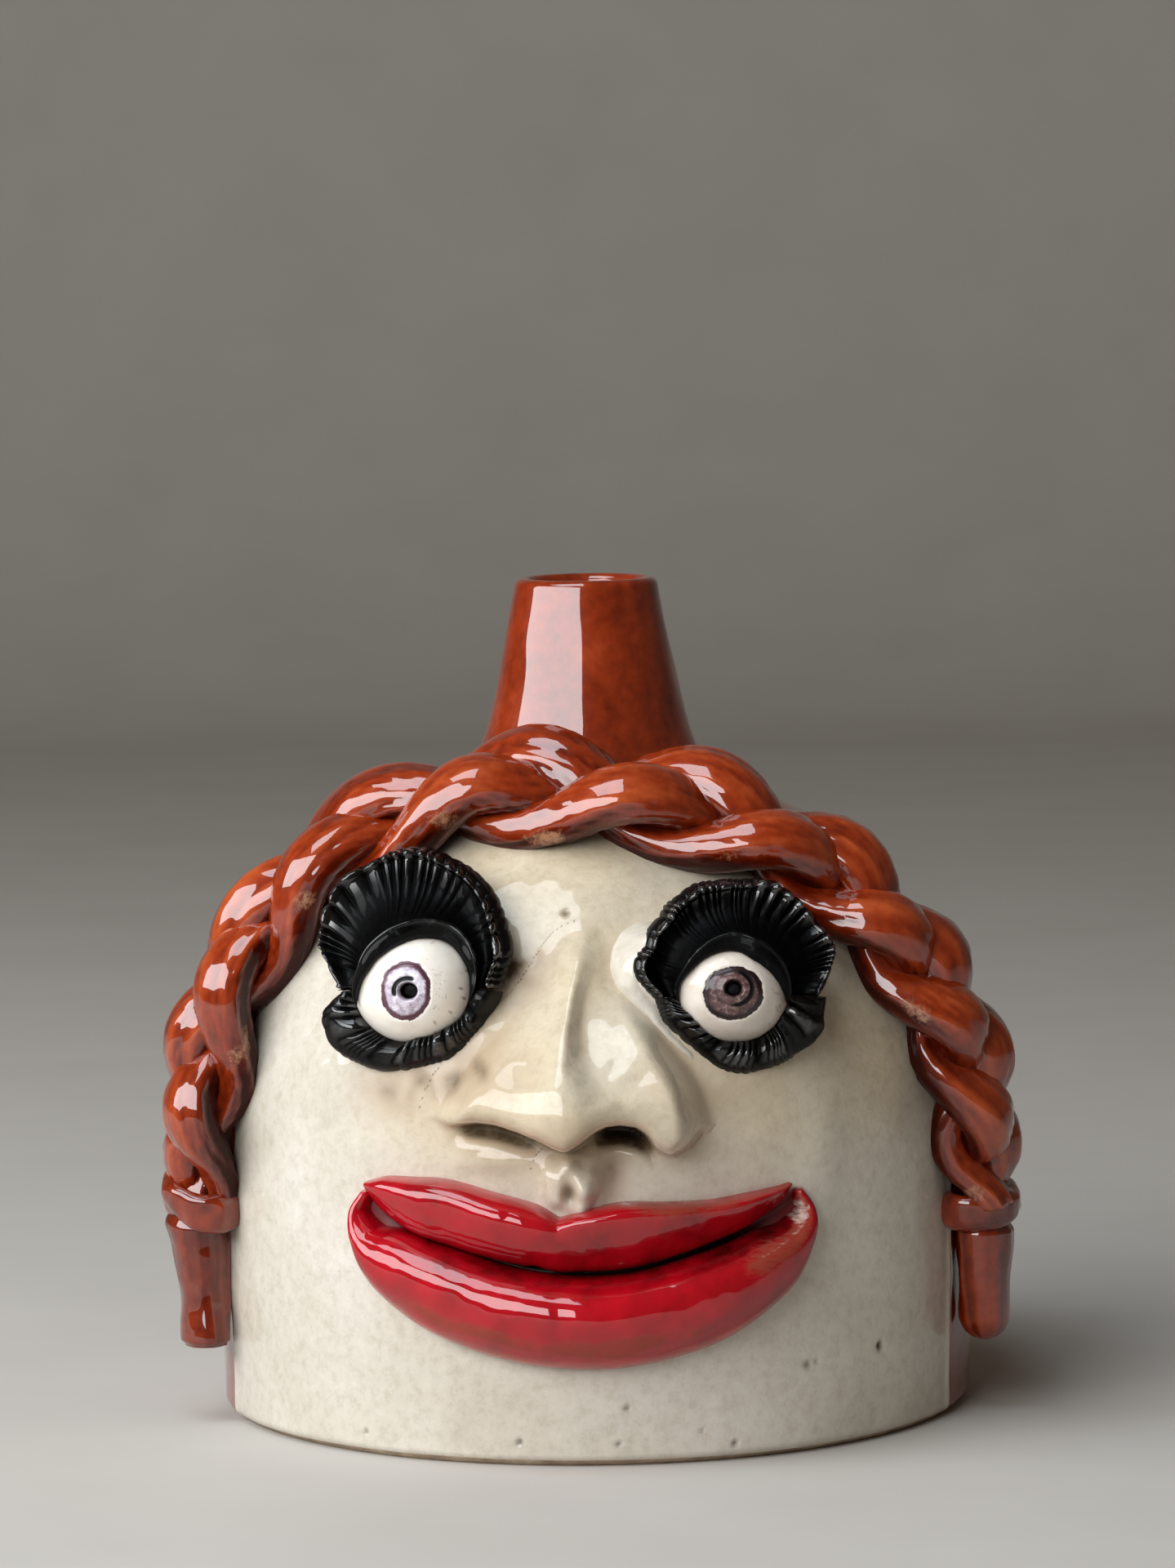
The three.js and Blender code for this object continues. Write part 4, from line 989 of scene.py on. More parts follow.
def pressed(x, azimuth, z, points, front):
    """Unevenness from the potter's hands, with the hollows round the eyes."""
    press = layers(points, *HAND_PRESS)
    for side in EYES:
        right, up, forward = eye_coordinates(side, points)
        near = (forward > EYE_REACH_BACK) & (np.abs(azimuth) < FACE_HALF_ANGLE)
        press += np.where(near, eye_hollow(right, up), 0)
    for height, *shape in SWELLINGS:
        press += height * lump_at(x, z, *shape) * front
    return press


def stains_and_shade_on(x, z, points, front, relief, parting, holes):
    """Brown stains round the eyes and in the philtrum's dimple, and painted shade in the nostrils, beside
    the right nostril, under the nose, in the creases and in the eye hollows.
    """
    left_hole, right_hole, beside = holes
    # Painted shade in the nostrils and in the hollow beside the right one
    stain_and_shade = 0.75 * smoothstep(left_hole, 0, 0.8)
    stain_and_shade = np.maximum(stain_and_shade, 0.8 * smoothstep(right_hole, 0, 0.4))
    stain_and_shade = np.maximum(stain_and_shade, 0.55 * beside)
    for strength, *shape in NOSE_SHADE_AND_STAINS:
        stain_and_shade = np.maximum(stain_and_shade, strength * lump_at(x, z, *shape) * front)
    # Painted shade in the creases
    crease = np.clip(blur(relief, CREASE_BLUR) - relief, 0, 3)
    stain_and_shade += CREASE_SHADE * crease * front * (1 - parting)
    # Brown stains with painted shade round the eyes
    for side, spot_right, spot_up, size, strength in EYE_STAINS_AND_SHADE:
        right, up, _ = eye_coordinates(side, points)
        away = np.hypot(right - spot_right, (up - spot_up) * EYE_MARK_SQUAT)
        stain_and_shade += strength * bell(away, 0, size) * front * (0.75 + layers(points, EYE_MARK_CLOUD))
    return np.clip(stain_and_shade, 0, 1)


def build_wall():
    azimuth, z = np.meshgrid(wall_columns(), wall_rows())
    points = on_body(azimuth, z)
    normal = body_normal(azimuth, z)
    x = points[..., 0]
    front = np.where(np.abs(azimuth) < FACE_HALF_ANGLE, 1.0, 0.0)

    nose, foot_level = nose_field(x, z)
    nose = nose * front
    below = np.where(front > 0, foot_level - z, -9)
    recess, *holes = under_nose(x, z, below, front)
    ridge = philtrum_field(x, z, points, nose, front)
    parting = mouth_share(points, azimuth)
    corner = smoothstep(np.abs(azimuth - MOUTH_MIDDLE), *MOUTH_CORNER)
    pit_depth, pit_mark = pits_in(points)
    press = pressed(x, azimuth, z, points, front)
    press = press - lerp(*PARTING_DEPTH, corner) * parting - recess - pit_depth
    press *= window(z, FOOT_CALM, (DOME_CUT - 12, DOME_CUT - 4))
    border = bell(azimuth, CREAM_LEFT, BORDER_WIDTH) + bell(azimuth, CREAM_RIGHT, BORDER_WIDTH)
    under_plait = 1 - smoothstep(z - plait_height(azimuth), -3, 2)
    press += BORDER_HEIGHT * border * smoothstep(z, *FOOT_CALM) * under_plait

    towards = np.array([0.0, -1.0, 0.0])
    surface = points + normal * (press + ridge)[..., None] + towards * nose[..., None]
    across = np.roll(surface, -1, 1) - np.roll(surface, 1, 1)
    surface_normal = unit(np.cross(across, np.gradient(surface, axis=0)))

    # Dark pits, and painted shadow in the right nostril and in the parting of the lips
    dark_pits_and_shadow = np.maximum(0.95 * pit_mark, 0.95 * smoothstep(holes[1], 0.25, 0.9))
    dark_pits_and_shadow = np.maximum(dark_pits_and_shadow, smoothstep(parting, 0.3, 0.8) * (1 - 0.75 * corner))
    warmth = smoothstep(z - SHOULDER, *WARM_LEVEL) * smoothstep(azimuth, *WARM_LEFT)
    warmth = warmth * (1 - smoothstep(azimuth, *WARM_RIGHT))
    marks = {
        "stain_and_shade": stains_and_shade_on(x, z, points, front, nose + ridge + press, parting, holes),
        "dark_pits_and_shadow": np.clip(dark_pits_and_shadow, 0, 1),
        # Red of the lips' inner sides, darkened as painted shade
        "mouth_red_and_shade": smoothstep(parting, 0.002, 0.02),
        "warmth": np.clip(warmth * (WARM_SHARE + layers(points, WARM_CLOUD)), 0, 1),
    }
    return azimuth, z, points, normal, surface, surface_normal, nose, ridge, marks


def inside_profile():
    """Radius and height of the hollow's wall, from the throat down to the foot."""
    radius = WALL_RADIUS - WALL_THICKNESS
    rise = DOME_RISE - WALL_THICKNESS
    last = math.acos(THROAT_RADIUS / radius)
    turns = [last * step / INSIDE_STEPS for step in range(INSIDE_STEPS, -1, -1)]
    dome = [(radius * math.cos(turn), SHOULDER + rise * math.sin(turn)) for turn in turns]
    return [(THROAT_RADIUS, DOME_CUT), *dome, (radius, 0)]


def cut_out(name, chosen, surface, back, normals, marks):
    """A piece of the surface, closed by its own back and by sides along its border."""
    used = np.unique(chosen)
    where = np.full(len(surface), -1)
    where[used] = np.arange(len(used))
    top = where[chosen]
    under = top[:, ::-1] + len(used)
    ends = np.concatenate([top[:, [i, (i + 1) % 4]] for i in range(4)])
    codes = set(map(tuple, ends.tolist()))
    border = np.array([edge for edge in ends.tolist() if (edge[1], edge[0]) not in codes])
    start, end = border.T
    sides = np.stack([end, start, start + len(used), end + len(used)], -1)
    points = np.concatenate([surface[used], back[used]])
    faces = np.concatenate([top, under, sides])
    values = {key: np.tile(mark.ravel()[used], 2) for key, mark in marks.items()}
    both = np.concatenate([normals[used], -normals[used]])
    add_piece(f"{name}_skin", points, faces, [cream], [name], values, both)


# Least height of the nose and of the ridge at which their own pieces begin, how far the wall is sunk
# under them and how far their backs are
PIECE_LEAST = 0.08
WALL_SUNK = 0.8
PIECE_BACK = 2.0
INSIDE_STEPS = 16


def add_wall():
    azimuth, z, base, normal, surface, surface_normal, nose, ridge, marks = build_wall()
    rows, columns = z.shape
    faces = grid_faces(rows, columns)
    nose_share = nose.ravel()[faces].mean(1)
    ridge_share = ridge.ravel()[faces].mean(1)
    is_nose = (nose_share > PIECE_LEAST) & (nose_share >= ridge_share)
    is_ridge = (ridge_share > PIECE_LEAST) & (ridge_share > nose_share)

    surface = surface.reshape(-1, 3)
    surface_normal = surface_normal.reshape(-1, 3)
    on_wall = np.zeros(len(surface), bool)
    on_wall[faces[~(is_nose | is_ridge)].ravel()] = True
    sunk = (base - normal * WALL_SUNK).reshape(-1, 3)
    wall = np.where(on_wall[:, None], surface, sunk)

    inner = inside_profile()
    turn = np.radians(azimuth[0])
    rings = [[r * np.sin(turn), -r * np.cos(turn), np.full_like(turn, h)] for r, h in inner]
    rings = np.moveaxis(np.array(rings), 1, -1)
    ring_across = np.roll(rings, -1, 1) - np.roll(rings, 1, 1)
    ring_normals = unit(np.cross(ring_across, np.gradient(rings, axis=0)))
    points = np.concatenate([wall, rings.reshape(-1, 3)])
    normals = np.concatenate([surface_normal, ring_normals.reshape(-1, 3)])
    total_rows = rows + len(inner)
    all_faces = grid_faces(total_rows, columns, wrap_rows=True)

    face_row = np.repeat(np.arange(total_rows), columns)
    face_azimuth = azimuth[0][np.tile(np.arange(columns), total_rows)]
    face_z = z[:, 0][np.minimum(face_row, rows - 1)]
    slots = np.ones(len(all_faces), np.int32)
    is_front = (face_azimuth > CREAM_LEFT) & (face_azimuth < CREAM_RIGHT)
    slots[is_front & (face_z < plait_height(face_azimuth))] = 0
    slots[(face_z < RAW_FOOT_HEIGHT) | (face_row >= rows)] = 2

    extra = len(points) - len(surface)
    values = {key: np.append(mark.ravel(), np.zeros(extra)) for key, mark in marks.items()}
    values.update(shade=np.zeros(len(points)), bare=np.zeros(len(points)))
    add_piece("head_shell_skin", points, all_faces, [cream, terracotta, clay], ["head_shell"],
              values, normals, slots)
    back = (base - normal * PIECE_BACK).reshape(-1, 3)
    for name, chosen in (("nose", is_nose), ("philtrum_ridge", is_ridge)):
        cut_out(name, faces[chosen], surface, back, surface_normal, marks)


add_wall()


# Floor of the jug, in raw clay: rounding of its edge, its grain as strength, size and seed, and the
# number of points round it
FLOOR_ROUNDING = 0.6
FLOOR_GRAIN = (0.25, 5, 11)
FLOOR_SIDES = 144


def add_base():
    radius = WALL_RADIUS - WALL_THICKNESS - PIECE_GAP
    under = [0.02, *np.linspace(0.1, 0.985, 22)]
    profile = [(radius * share, 0.0) for share in under]
    profile += [(radius, FLOOR_ROUNDING), (radius, FLOOR_THICKNESS - FLOOR_ROUNDING)]
    profile += [(radius - FLOOR_ROUNDING, FLOOR_THICKNESS)]
    profile += [(radius * share, FLOOR_THICKNESS) for share in np.linspace(0.96, 0.02, 16)]
    angle = around(FLOOR_SIDES)
    loops = np.array([[(r * math.cos(a), r * math.sin(a), h) for a in angle] for r, h in profile])
    rough = layers(loops, FLOOR_GRAIN)
    loops[..., 2] += np.where(loops[..., 2] < 1, 1, -1) * np.clip(rough, 0, 1)
    add_loft("base_slab_disc", loops, [clay], ["base_slab"])


add_base()


# Neck: the spread of its foot over the wall, then the bore, as radius and height
NECK_FOOT = [
    (36.5, 123.05), (34.2, 124.25), (31.6, 125.55), (29.4, 126.75), (27.7, 127.95), (26.2, 129.35),
]
NECK_BORE = [
    (10.6, RIM_LEVEL), (10.9, 162), (11.6, 157), (13, 149), (14.5, 141), (16, 134),
    (17.5, DOME_CUT + 0.3), (24, DOME_CUT - 0.2), (34, 122.5),
]
NECK_START = 131
NECK_ROWS = 90
RIM_ANGLES = (12, 168, 14)
NECK_SIDES = 180
NECK_GRAIN = (0.22, 16, 21)
NECK_FINE_GRAIN = (0.06, 3.5, 22)
NECK_STREAKS = (0.5, 3.2, 23)
# Heights over which the grain sets in, places to the right over which the streaks do, and the dark bore
NECK_GRAIN_START = (124, 134)
NECK_STREAKS_START = (-6, 10)
NECK_BORE_DARK = 1.2


def add_neck():
    outer = list(NECK_FOOT)
    for height in np.linspace(NECK_START, RIM_LEVEL, NECK_ROWS):
        cone = RIM_RADIUS + (RIM_LEVEL - height) * NECK_TAPER
        outer.append((cone + NECK_FLARE * math.exp(-(height - DOME_CUT) / NECK_FLARE_REACH), height))
    for angle in np.linspace(*RIM_ANGLES):
        across = RIM_RADIUS - RIM_ROLL + RIM_ROLL * math.cos(math.radians(angle))
        outer.append((across, RIM_LEVEL + RIM_ROLL * math.sin(math.radians(angle))))
    profile = np.array(outer + NECK_BORE)
    turn = around(NECK_SIDES)
    radius = profile[:, 0][:, None]
    height = profile[:, 1][:, None]
    points = np.stack([radius * np.sin(turn), -radius * np.cos(turn), height + 0 * turn], -1)
    outward = np.stack([np.sin(turn), -np.cos(turn), 0 * turn], -1)[None]
    is_outer = (np.arange(len(profile)) < len(outer))[:, None]
    reach = smoothstep(height, *NECK_GRAIN_START) * is_outer
    uneven = layers(points, NECK_GRAIN) + layers(points * [1, 1, 0.4], NECK_FINE_GRAIN)
    points = points + outward * (uneven * reach)[..., None]
    streaks = layers(points * [1, 1, 0.08], NECK_STREAKS)
    shade = streaks * smoothstep(points[..., 0], *NECK_STREAKS_START) - NECK_BORE_DARK * (1 - is_outer)
    values = {"shade": shade, "bare": np.zeros_like(shade)}
    add_loft("neck_cone", points, [terracotta], ["neck"], values, ring=True)


add_neck()


# Plait
PLAIT_SAMPLES = 400


def curve_between(before, start, end, after, share):
    """Place on a centripetal curve from start to end that also minds the guide before and after."""
    pairs = ((before, start), (start, end), (end, after))
    first, middle, last = [max(float(((q - p) ** 2).sum()) ** 0.25, 1e-4) for p, q in pairs]
    out_of = (start - before) / first - (end - before) / (first + middle) + (end - start) / middle
    into = (end - start) / middle - (after - start) / (middle + last) + (after - end) / last
    out_of, into = out_of * middle, into * middle
    curve = start + out_of * share + (-3 * start + 3 * end - 2 * out_of - into) * share**2
    return curve + (2 * start - 2 * end + out_of + into) * share**3


def plait_frames():
    """Centre line of the plait, the directions out of the body and across it, and the length so far."""
    guide = []
    for azimuth, elevation in PLAIT_PATH:
        height = float(height_at(elevation))
        guide.append((math.radians(azimuth) * float(body_radius(height)), height, azimuth))
    guide = np.array(guide)
    guide = np.vstack([2 * guide[0] - guide[1], guide, 2 * guide[-1] - guide[-2]])
    spots = []
    for step in range(PLAIT_SAMPLES + 1):
        place = (len(PLAIT_PATH) - 1) * step / PLAIT_SAMPLES
        index = min(int(place), len(PLAIT_PATH) - 2)
        spots.append(curve_between(*guide[index : index + 4], place - index))
    spots = np.array(spots)
    centre = on_body(spots[:, 2], spots[:, 1], PLAIT_LIFT)
    out = body_normal(spots[:, 2], spots[:, 1])
    across = unit(np.cross(out, unit(np.gradient(centre, axis=0))))
    arc = np.concatenate([[0], np.cumsum(np.linalg.norm(np.diff(centre, axis=0), axis=1))])
    return dict(centre=centre, out=out, across=across, arc=arc)


PLAIT = plait_frames()
PLAIT_LENGTH = PLAIT["arc"][-1]
STRAND_START = TIE_LENGTH / 2 + PIECE_GAP
STRAND_END = PLAIT_LENGTH - TIE_LENGTH / 2 - PIECE_GAP


def plait_at(name, arc):
    arc = np.clip(arc, 0, PLAIT_LENGTH)
    return np.stack([np.interp(arc, PLAIT["arc"], PLAIT[name][:, k]) for k in range(3)], -1)


def gather(arc):
    return smoothstep(np.minimum(arc - STRAND_START, STRAND_END - arc), 0, GATHER_LENGTH)


def fullness(arc):
    return np.sin(math.pi * np.clip((arc - STRAND_START) / (STRAND_END - STRAND_START), 0, 1))


def strand_angle(strand, arc):
    """Phase of a strand: a quarter turn back at the face side, a quarter turn on at the neck side."""
    phases = []
    for at in np.atleast_1d(arc):
        lobe = strand
        while lobe + 3 < len(FACE_LOBES) and at > FACE_LOBES[lobe + 3]:
            lobe += 3
        face, neck_side = FACE_LOBES[lobe], NECK_LOBES[lobe + 1]
        if at < neck_side:
            phases.append(math.pi * ((at - face) / (neck_side - face) - 0.5))
        else:
            phases.append(math.pi * ((at - neck_side) / (FACE_LOBES[lobe + 3] - neck_side) + 0.5))
    return np.array(phases)


def strand_centre(strand, arc):
    angle = strand_angle(strand, arc)
    spread = lerp(GATHERED_SPREAD, 1, gather(arc))
    neck_sway = lerp(SIDE_SWAY, CROWN_SWAY, fullness(arc) ** CROWN_SHARPNESS)
    sway = np.where(np.sin(angle) > 0, neck_sway, FACE_SWAY) * spread * np.sin(angle)
    lift = -PLAIT_WEAVE * spread * np.sin(2 * angle)
    across = plait_at("across", arc) * sway[:, None]
    return plait_at("centre", arc) + across + unit(plait_at("out", arc)) * lift[:, None]


STRAND_ROWS = 460
STRAND_SIDES = 46
# How far a strand reaches into the ties, how much it grows where it lies over another, and its twist
STRAND_TUCK = 2.5
OVER_WIDER = 0.07
OVER_THICKER = 0.10
STRAND_TWIST = 0.035
# Combed lines along a coil: radius that the noise is wound on, and its step along the coil
LANE_RADIUS = 9
STRAND_LANE_STEP = 0.11
TAIL_LANE_STEP = 0.07


def add_strand(index):
    arc = np.linspace(STRAND_START - STRAND_TUCK, STRAND_END + STRAND_TUCK, STRAND_ROWS)
    centre = strand_centre(index, arc)
    out = unit(plait_at("out", arc))
    square = np.cross(unit(plait_at("across", arc)), out)
    ahead = unit(np.gradient(centre, axis=0))
    along = unit(lerp(square, ahead, gather(arc)[:, None]))
    across = unit(np.cross(out, along))
    out = unit(np.cross(along, across))
    size = lerp(GATHERED_SIZE, OPEN_SIZE, gather(arc)) + (FULL_SIZE - OPEN_SIZE) * fullness(arc)
    phase = strand_angle(index, arc)
    over = -np.sin(2 * phase)
    wide = STRAND_HALF_WIDTH * size * (1 + OVER_WIDER * over)
    thick = STRAND_HALF_THICKNESS * size * (1 + OVER_THICKER * over)

    theta = around(STRAND_SIDES)
    run = np.cumsum(np.append(0, np.linalg.norm(np.diff(centre, axis=0), axis=1)))[:, None]
    lane = wound(theta + run * STRAND_TWIST, run * STRAND_LANE_STEP, LANE_RADIUS)
    comb = layers(lane, (1, 1.9, 31 + index), (0.55, 0.9, 41 + index))
    broad = noise(lane, 6.0, 51 + index)
    swell = 0.34 * comb + 0.45 * broad
    loops = coil(centre, across, out, wide, thick, swell, theta)
    depth = over[:, None] * 0.35 - 1.5 * (1 - smoothstep(np.sin(theta), -0.25, 0.5))
    inner = np.clip(-np.sin(phase), 0, 1)[:, None] ** 6 * np.clip(-np.cos(theta), 0, 1) ** 3
    values = {
        "shade": 0.9 * comb + 0.4 * broad + depth,
        "bare": inner * smoothstep(noise(loops, 9, 57 + index), -0.1, 0.5),
    }
    node = f"braid_strand_{index + 1}"
    add_loft(f"{node}_coil", loops, [terracotta], [node], values)


for strand_index in range(3):
    add_strand(strand_index)


# Ties: how far the outside stands over the half width and half thickness named above, and how far the
# inside lies under the waist's
TIE_OUTSIDE = (0.6, 1.0)
TIE_INSIDE = 0.8
TIE_BOW = 1.3
TIE_UNEVEN = [(1.2, 7, 61), (0.3, 2.6, 62)]
TIE_SHADE = (0.5, 2.5, 63)
TIE_SIDES = 120
TIE_ROUND = 36


def rounded(value, power):
    """A sine or cosine whose bulges are squarer, the more so the lower the power."""
    return np.sign(value) * abs(value) ** power


def add_tie(side):
    arc = 0.0 if side == "left" else PLAIT_LENGTH
    centre = plait_at("centre", arc)
    out = unit(plait_at("out", arc))
    across = unit(plait_at("across", arc))
    along = np.cross(across, out)
    loops = []
    for turn in around(TIE_SIDES):
        loop = []
        for about in around(TIE_ROUND):
            share = 0.5 + 0.5 * rounded(math.cos(about), 0.95)
            wide = lerp(WAIST_HALF_WIDTH - TIE_INSIDE, TIE_HALF_WIDTH + TIE_OUTSIDE[0], share)
            thick = lerp(WAIST_HALF_THICKNESS - TIE_INSIDE, TIE_HALF_THICKNESS + TIE_OUTSIDE[1], share)
            shift = TIE_LENGTH / 2 * rounded(math.sin(about), 0.8) + TIE_BOW * math.cos(turn) * share
            spot = centre + across * wide * math.cos(turn) + out * thick * math.sin(turn)
            loop.append(spot + along * shift)
        loops.append(loop)
    loops = np.array(loops)
    loops = loops + unit(loops - centre) * layers(loops, *TIE_UNEVEN)[..., None]
    values = {"shade": layers(loops, TIE_SHADE) - 0.2, "bare": 0.5 * np.clip(noise(loops, 6, 64), 0, 1)}
    node = f"{side}_braid_tie"
    add_loft(f"{node}_band", loops, [terracotta], [node], values, ring=True)


# Tails: sides and rows, how slim the top is in its tie, how thin the foot is and the combed lines
TAIL_SIDES = 64
TAIL_ROWS = 90
TAIL_NECK = 0.62
TAIL_FOOT_THIN = 0.84
TAIL_COMB = [(1, 1.7, 71), (0.5, 0.8, 72)]


def tail_end(side, share):
    """How a tail closes towards its foot: the left one is cut off square and the right one is round."""
    if side == "left":
        return np.maximum(smoothstep(1 - share, -0.035, 0.035), 0.86)
    return np.sqrt(np.clip(1 - np.clip((share - 0.82) / 0.18, 0, 1) ** 2, 0.03, 1))


def add_tail(side):
    tail = TAILS[side]
    arc = 0.0 if side == "left" else PLAIT_LENGTH
    start = float(plait_at("centre", arc)[2]) - TIE_LENGTH / 2 + TAIL_TUCK
    theta = around(TAIL_SIDES)
    share = np.linspace(0, 1, TAIL_ROWS)
    height = lerp(start, tail["foot"], share)
    azimuth = lerp(*tail["azimuth"], share)
    neck = lerp(TAIL_NECK, 1, smoothstep(share, 0, 0.17))
    top_thick = TAIL_HALF_THICKNESS + tail["plump"]
    close = tail_end(side, share)
    wide = lerp(*tail["width"], share) * neck * close
    thick = lerp(top_thick, TAIL_HALF_THICKNESS * TAIL_FOOT_THIN, share) * neck * close
    centre = on_body(azimuth, height, PLAIT_LIFT + lerp(*tail["lift"], share))
    out = body_normal(azimuth, height)
    across = unit(np.cross(out, [0, 0, 1.0]))
    run = (start - height)[:, None]
    lane = wound(theta, run * TAIL_LANE_STEP, LANE_RADIUS)
    comb = layers(lane, *TAIL_COMB) * tail["combed"]
    broad = noise(lane, 5.0, 73)
    lumps = layers(wound(theta, run, 6), *tail["lumps"])
    swell = (0.16 * comb + 0.5 * broad + lumps) * smoothstep(run, 0, 3)
    loops = coil(centre, across, out, wide, thick, swell, theta)
    values = {
        "shade": 0.5 * comb + 0.4 * broad - tail["dark"],
        "bare": 0.3 * np.clip(noise(loops, 7, 74), 0, 1),
    }
    node = f"{side}_braid_tail"
    add_loft(f"{node}_bunch", loops, [terracotta], [node], values)


for tail_side in TAILS:
    add_tie(tail_side)
    add_tail(tail_side)


# Eyes, read off the photograph as pixels: outlines run clockwise from the lower left
LID_EDGE = {
    "left": [
        (438, 1226), (441, 1210), (452, 1189), (471, 1168), (490, 1157), (509, 1150), (534, 1150),
        (553, 1157), (567, 1170), (575, 1185), (580, 1203), (583, 1220),
    ],
    "right": [
        (824, 1222), (831, 1209), (850, 1186), (870, 1171), (889, 1165), (906, 1166), (920, 1175),
        (936, 1185), (949, 1198), (957, 1211), (962, 1224),
    ],
}
UPPER_OUTLINE = {
    "left": [
        (415, 1213), (404, 1193), (395, 1172), (387, 1158), (390, 1132), (395, 1115), (404, 1092),
        (413, 1077), (431, 1064), (452, 1052), (471, 1041), (497, 1036), (513, 1036), (530, 1042),
        (548, 1051), (567, 1061), (584, 1075), (598, 1092), (608, 1113), (617, 1140), (622, 1166),
        (616, 1190), (609, 1210),
    ],
    "right": [
        (805, 1222), (790, 1208), (779, 1192), (778, 1177), (791, 1159), (798, 1138), (815, 1121),
        (820, 1110), (833, 1098), (856, 1082), (881, 1078), (910, 1075), (940, 1076), (959, 1082),
        (979, 1096), (997, 1114), (1012, 1132), (1024, 1146), (1031, 1161), (1026, 1181), (1018, 1203),
        (1006, 1220),
    ],
}
LOWER_OUTLINE = {
    "left": [
        (421, 1214), (401, 1231), (393, 1242), (396, 1260), (402, 1276), (414, 1289), (438, 1302),
        (467, 1312), (490, 1311), (528, 1305), (553, 1300), (568, 1290), (582, 1270), (597, 1247),
        (606, 1231), (613, 1214),
    ],
    "right": [
        (803, 1222), (809, 1236), (814, 1250), (830, 1266), (848, 1284), (866, 1301), (885, 1313),
        (910, 1316), (940, 1309), (960, 1301), (979, 1288), (998, 1276), (1009, 1258), (1010, 1237),
        (1013, 1221),
    ],
}
LOWER_EDGE = {
    "left": [
        (433, 1214), (433, 1232), (439, 1251), (448, 1262), (460, 1273), (480, 1276), (509, 1271),
        (543, 1260), (566, 1244), (581, 1230), (590, 1216),
    ],
    "right": [
        (820, 1220), (829, 1231), (843, 1240), (854, 1252), (870, 1267), (885, 1274), (910, 1276),
        (930, 1273), (947, 1260), (957, 1245), (966, 1228),
    ],
}
# Inner side of the cream collar that stands proud beside the right eye
FLANGE_OUTLINE = [
    (838, 1120), (818, 1126), (793, 1131), (774, 1142), (761, 1161), (754, 1184), (757, 1207),
    (770, 1226), (792, 1246), (806, 1263), (822, 1279), (842, 1296), (866, 1312),
]
# Iris: middle and pupil as pixels, then in millimetres its half width and half height, the radius of
# the pupil's hole and that of the ring about it
IRIS = {
    "left": dict(middle=(496, 1214), pupil=(499, 1214), half_width=5.1, half_height=6.5, hole=1.95,
                 ring=2.75),
    "right": dict(middle=(899, 1216), pupil=(899, 1210), half_width=6.0, half_height=5.8, hole=1.85,
                  ring=3.6),
}


def on_plane_of_eye(side, pixels, ahead):
    """Angle and distance from the eye's middle, for pixels seen at a forward distance."""
    centre, forward, right, up = EYE_FRAMES[side]
    pixels = np.asarray(pixels, float)
    ahead = np.broadcast_to(np.asarray(ahead, float), pixels.shape[:-1])
    spots = [seen_on_plane(pixel, centre + forward * far, forward) for pixel, far in zip(pixels, ahead)]
    away = np.array(spots) - centre
    x, y = away @ right, away @ up
    return np.degrees(np.arctan2(y, x)), np.hypot(x, y)


def squash(angle):
    """How much nearer the eye's middle the flattened ball's outline lies, by angle."""
    return lerp(1, BALL_FLATTENING, np.abs(np.sin(np.radians(angle))))


def apart(angle, middle):
    """Degrees from middle to angle, the short way round."""
    return (angle - middle + 180) % 360 - 180


def edge_table(side, pixels, ahead_at, low):
    """Radius by angle along an outline; ahead_at gives the forward distance from angle and radius."""
    ahead = np.full(len(pixels), 4.0)
    for _ in range(4):
        angle, radius = on_plane_of_eye(side, pixels, ahead)
        angle = (angle - low) % 360 + low
        ahead = ahead_at(angle, radius)
    order = np.argsort(angle)
    return np.stack([angle[order], radius[order]], -1)


def along_edge(table, angle):
    return np.interp(angle, table[:, 0], table[:, 1])


def ball_edge(side, angle):
    """Radius at which the ball's outline lies, seen from straight in front."""
    turn = np.radians(angle)
    return EYES[side]["ball"] / np.hypot(np.cos(turn), np.sin(turn) / BALL_FLATTENING)


def smooth_along(values, sigma):
    return blur(np.asarray(values)[None], sigma)[0]


def ball_ahead(side, angle, radius, extra, least=2.5):
    """Forward distance of a shell this far outside the ball."""
    turn = np.radians(angle)
    x = radius * np.cos(turn)
    y = radius * np.sin(turn) / BALL_FLATTENING
    room = (EYES[side]["ball"] + extra) ** 2 - x**2 - y**2
    return np.sqrt(np.maximum(room, least**2))


# Eyeball: first and last distance from the pupil's axis on its front and how many rows there are, rows
# behind and the angle left free at the far pole, then how the iris's outline, the ring and the pupil are cut
BALL_FRONT = (0.03, 7.6, 78)
BALL_BACK_ROWS = 32
BALL_BACK_POLE = 0.03
BALL_SIDES = 120
IRIS_EDGE = (0.95, 0.06)
IRIS_CUT = 0.22
RING_WIDTH = 0.5
RING_CUT = 0.25
PUPIL_CUT = 3.4
BALL_UNEVEN = [(0.10, 3.5, 81), (0.03, 1.1, 83)]
FAR_OFF = 99.0


def on_ball(side, pixel):
    """Place right and up of the eye's middle at which a pixel meets the ball, before it is flattened."""
    angle, radius = on_plane_of_eye(side, [pixel], EYES[side]["ball"])
    angle, radius = on_plane_of_eye(side, [pixel], ball_ahead(side, angle, radius, 0))
    turn = math.radians(angle[0])
    return radius[0] * math.cos(turn), radius[0] * math.sin(turn) / BALL_FLATTENING


def ring_arc(side, turn):
    """Part of the way round on which the ring about the pupil shows."""
    turn = np.degrees(turn) % 360
    if side == "left":
        return window(turn, (55, 80), (190, 215))
    return 0.35 + 0.65 * np.maximum(1 - smoothstep(turn, 40, 90), smoothstep(turn, 250, 300))


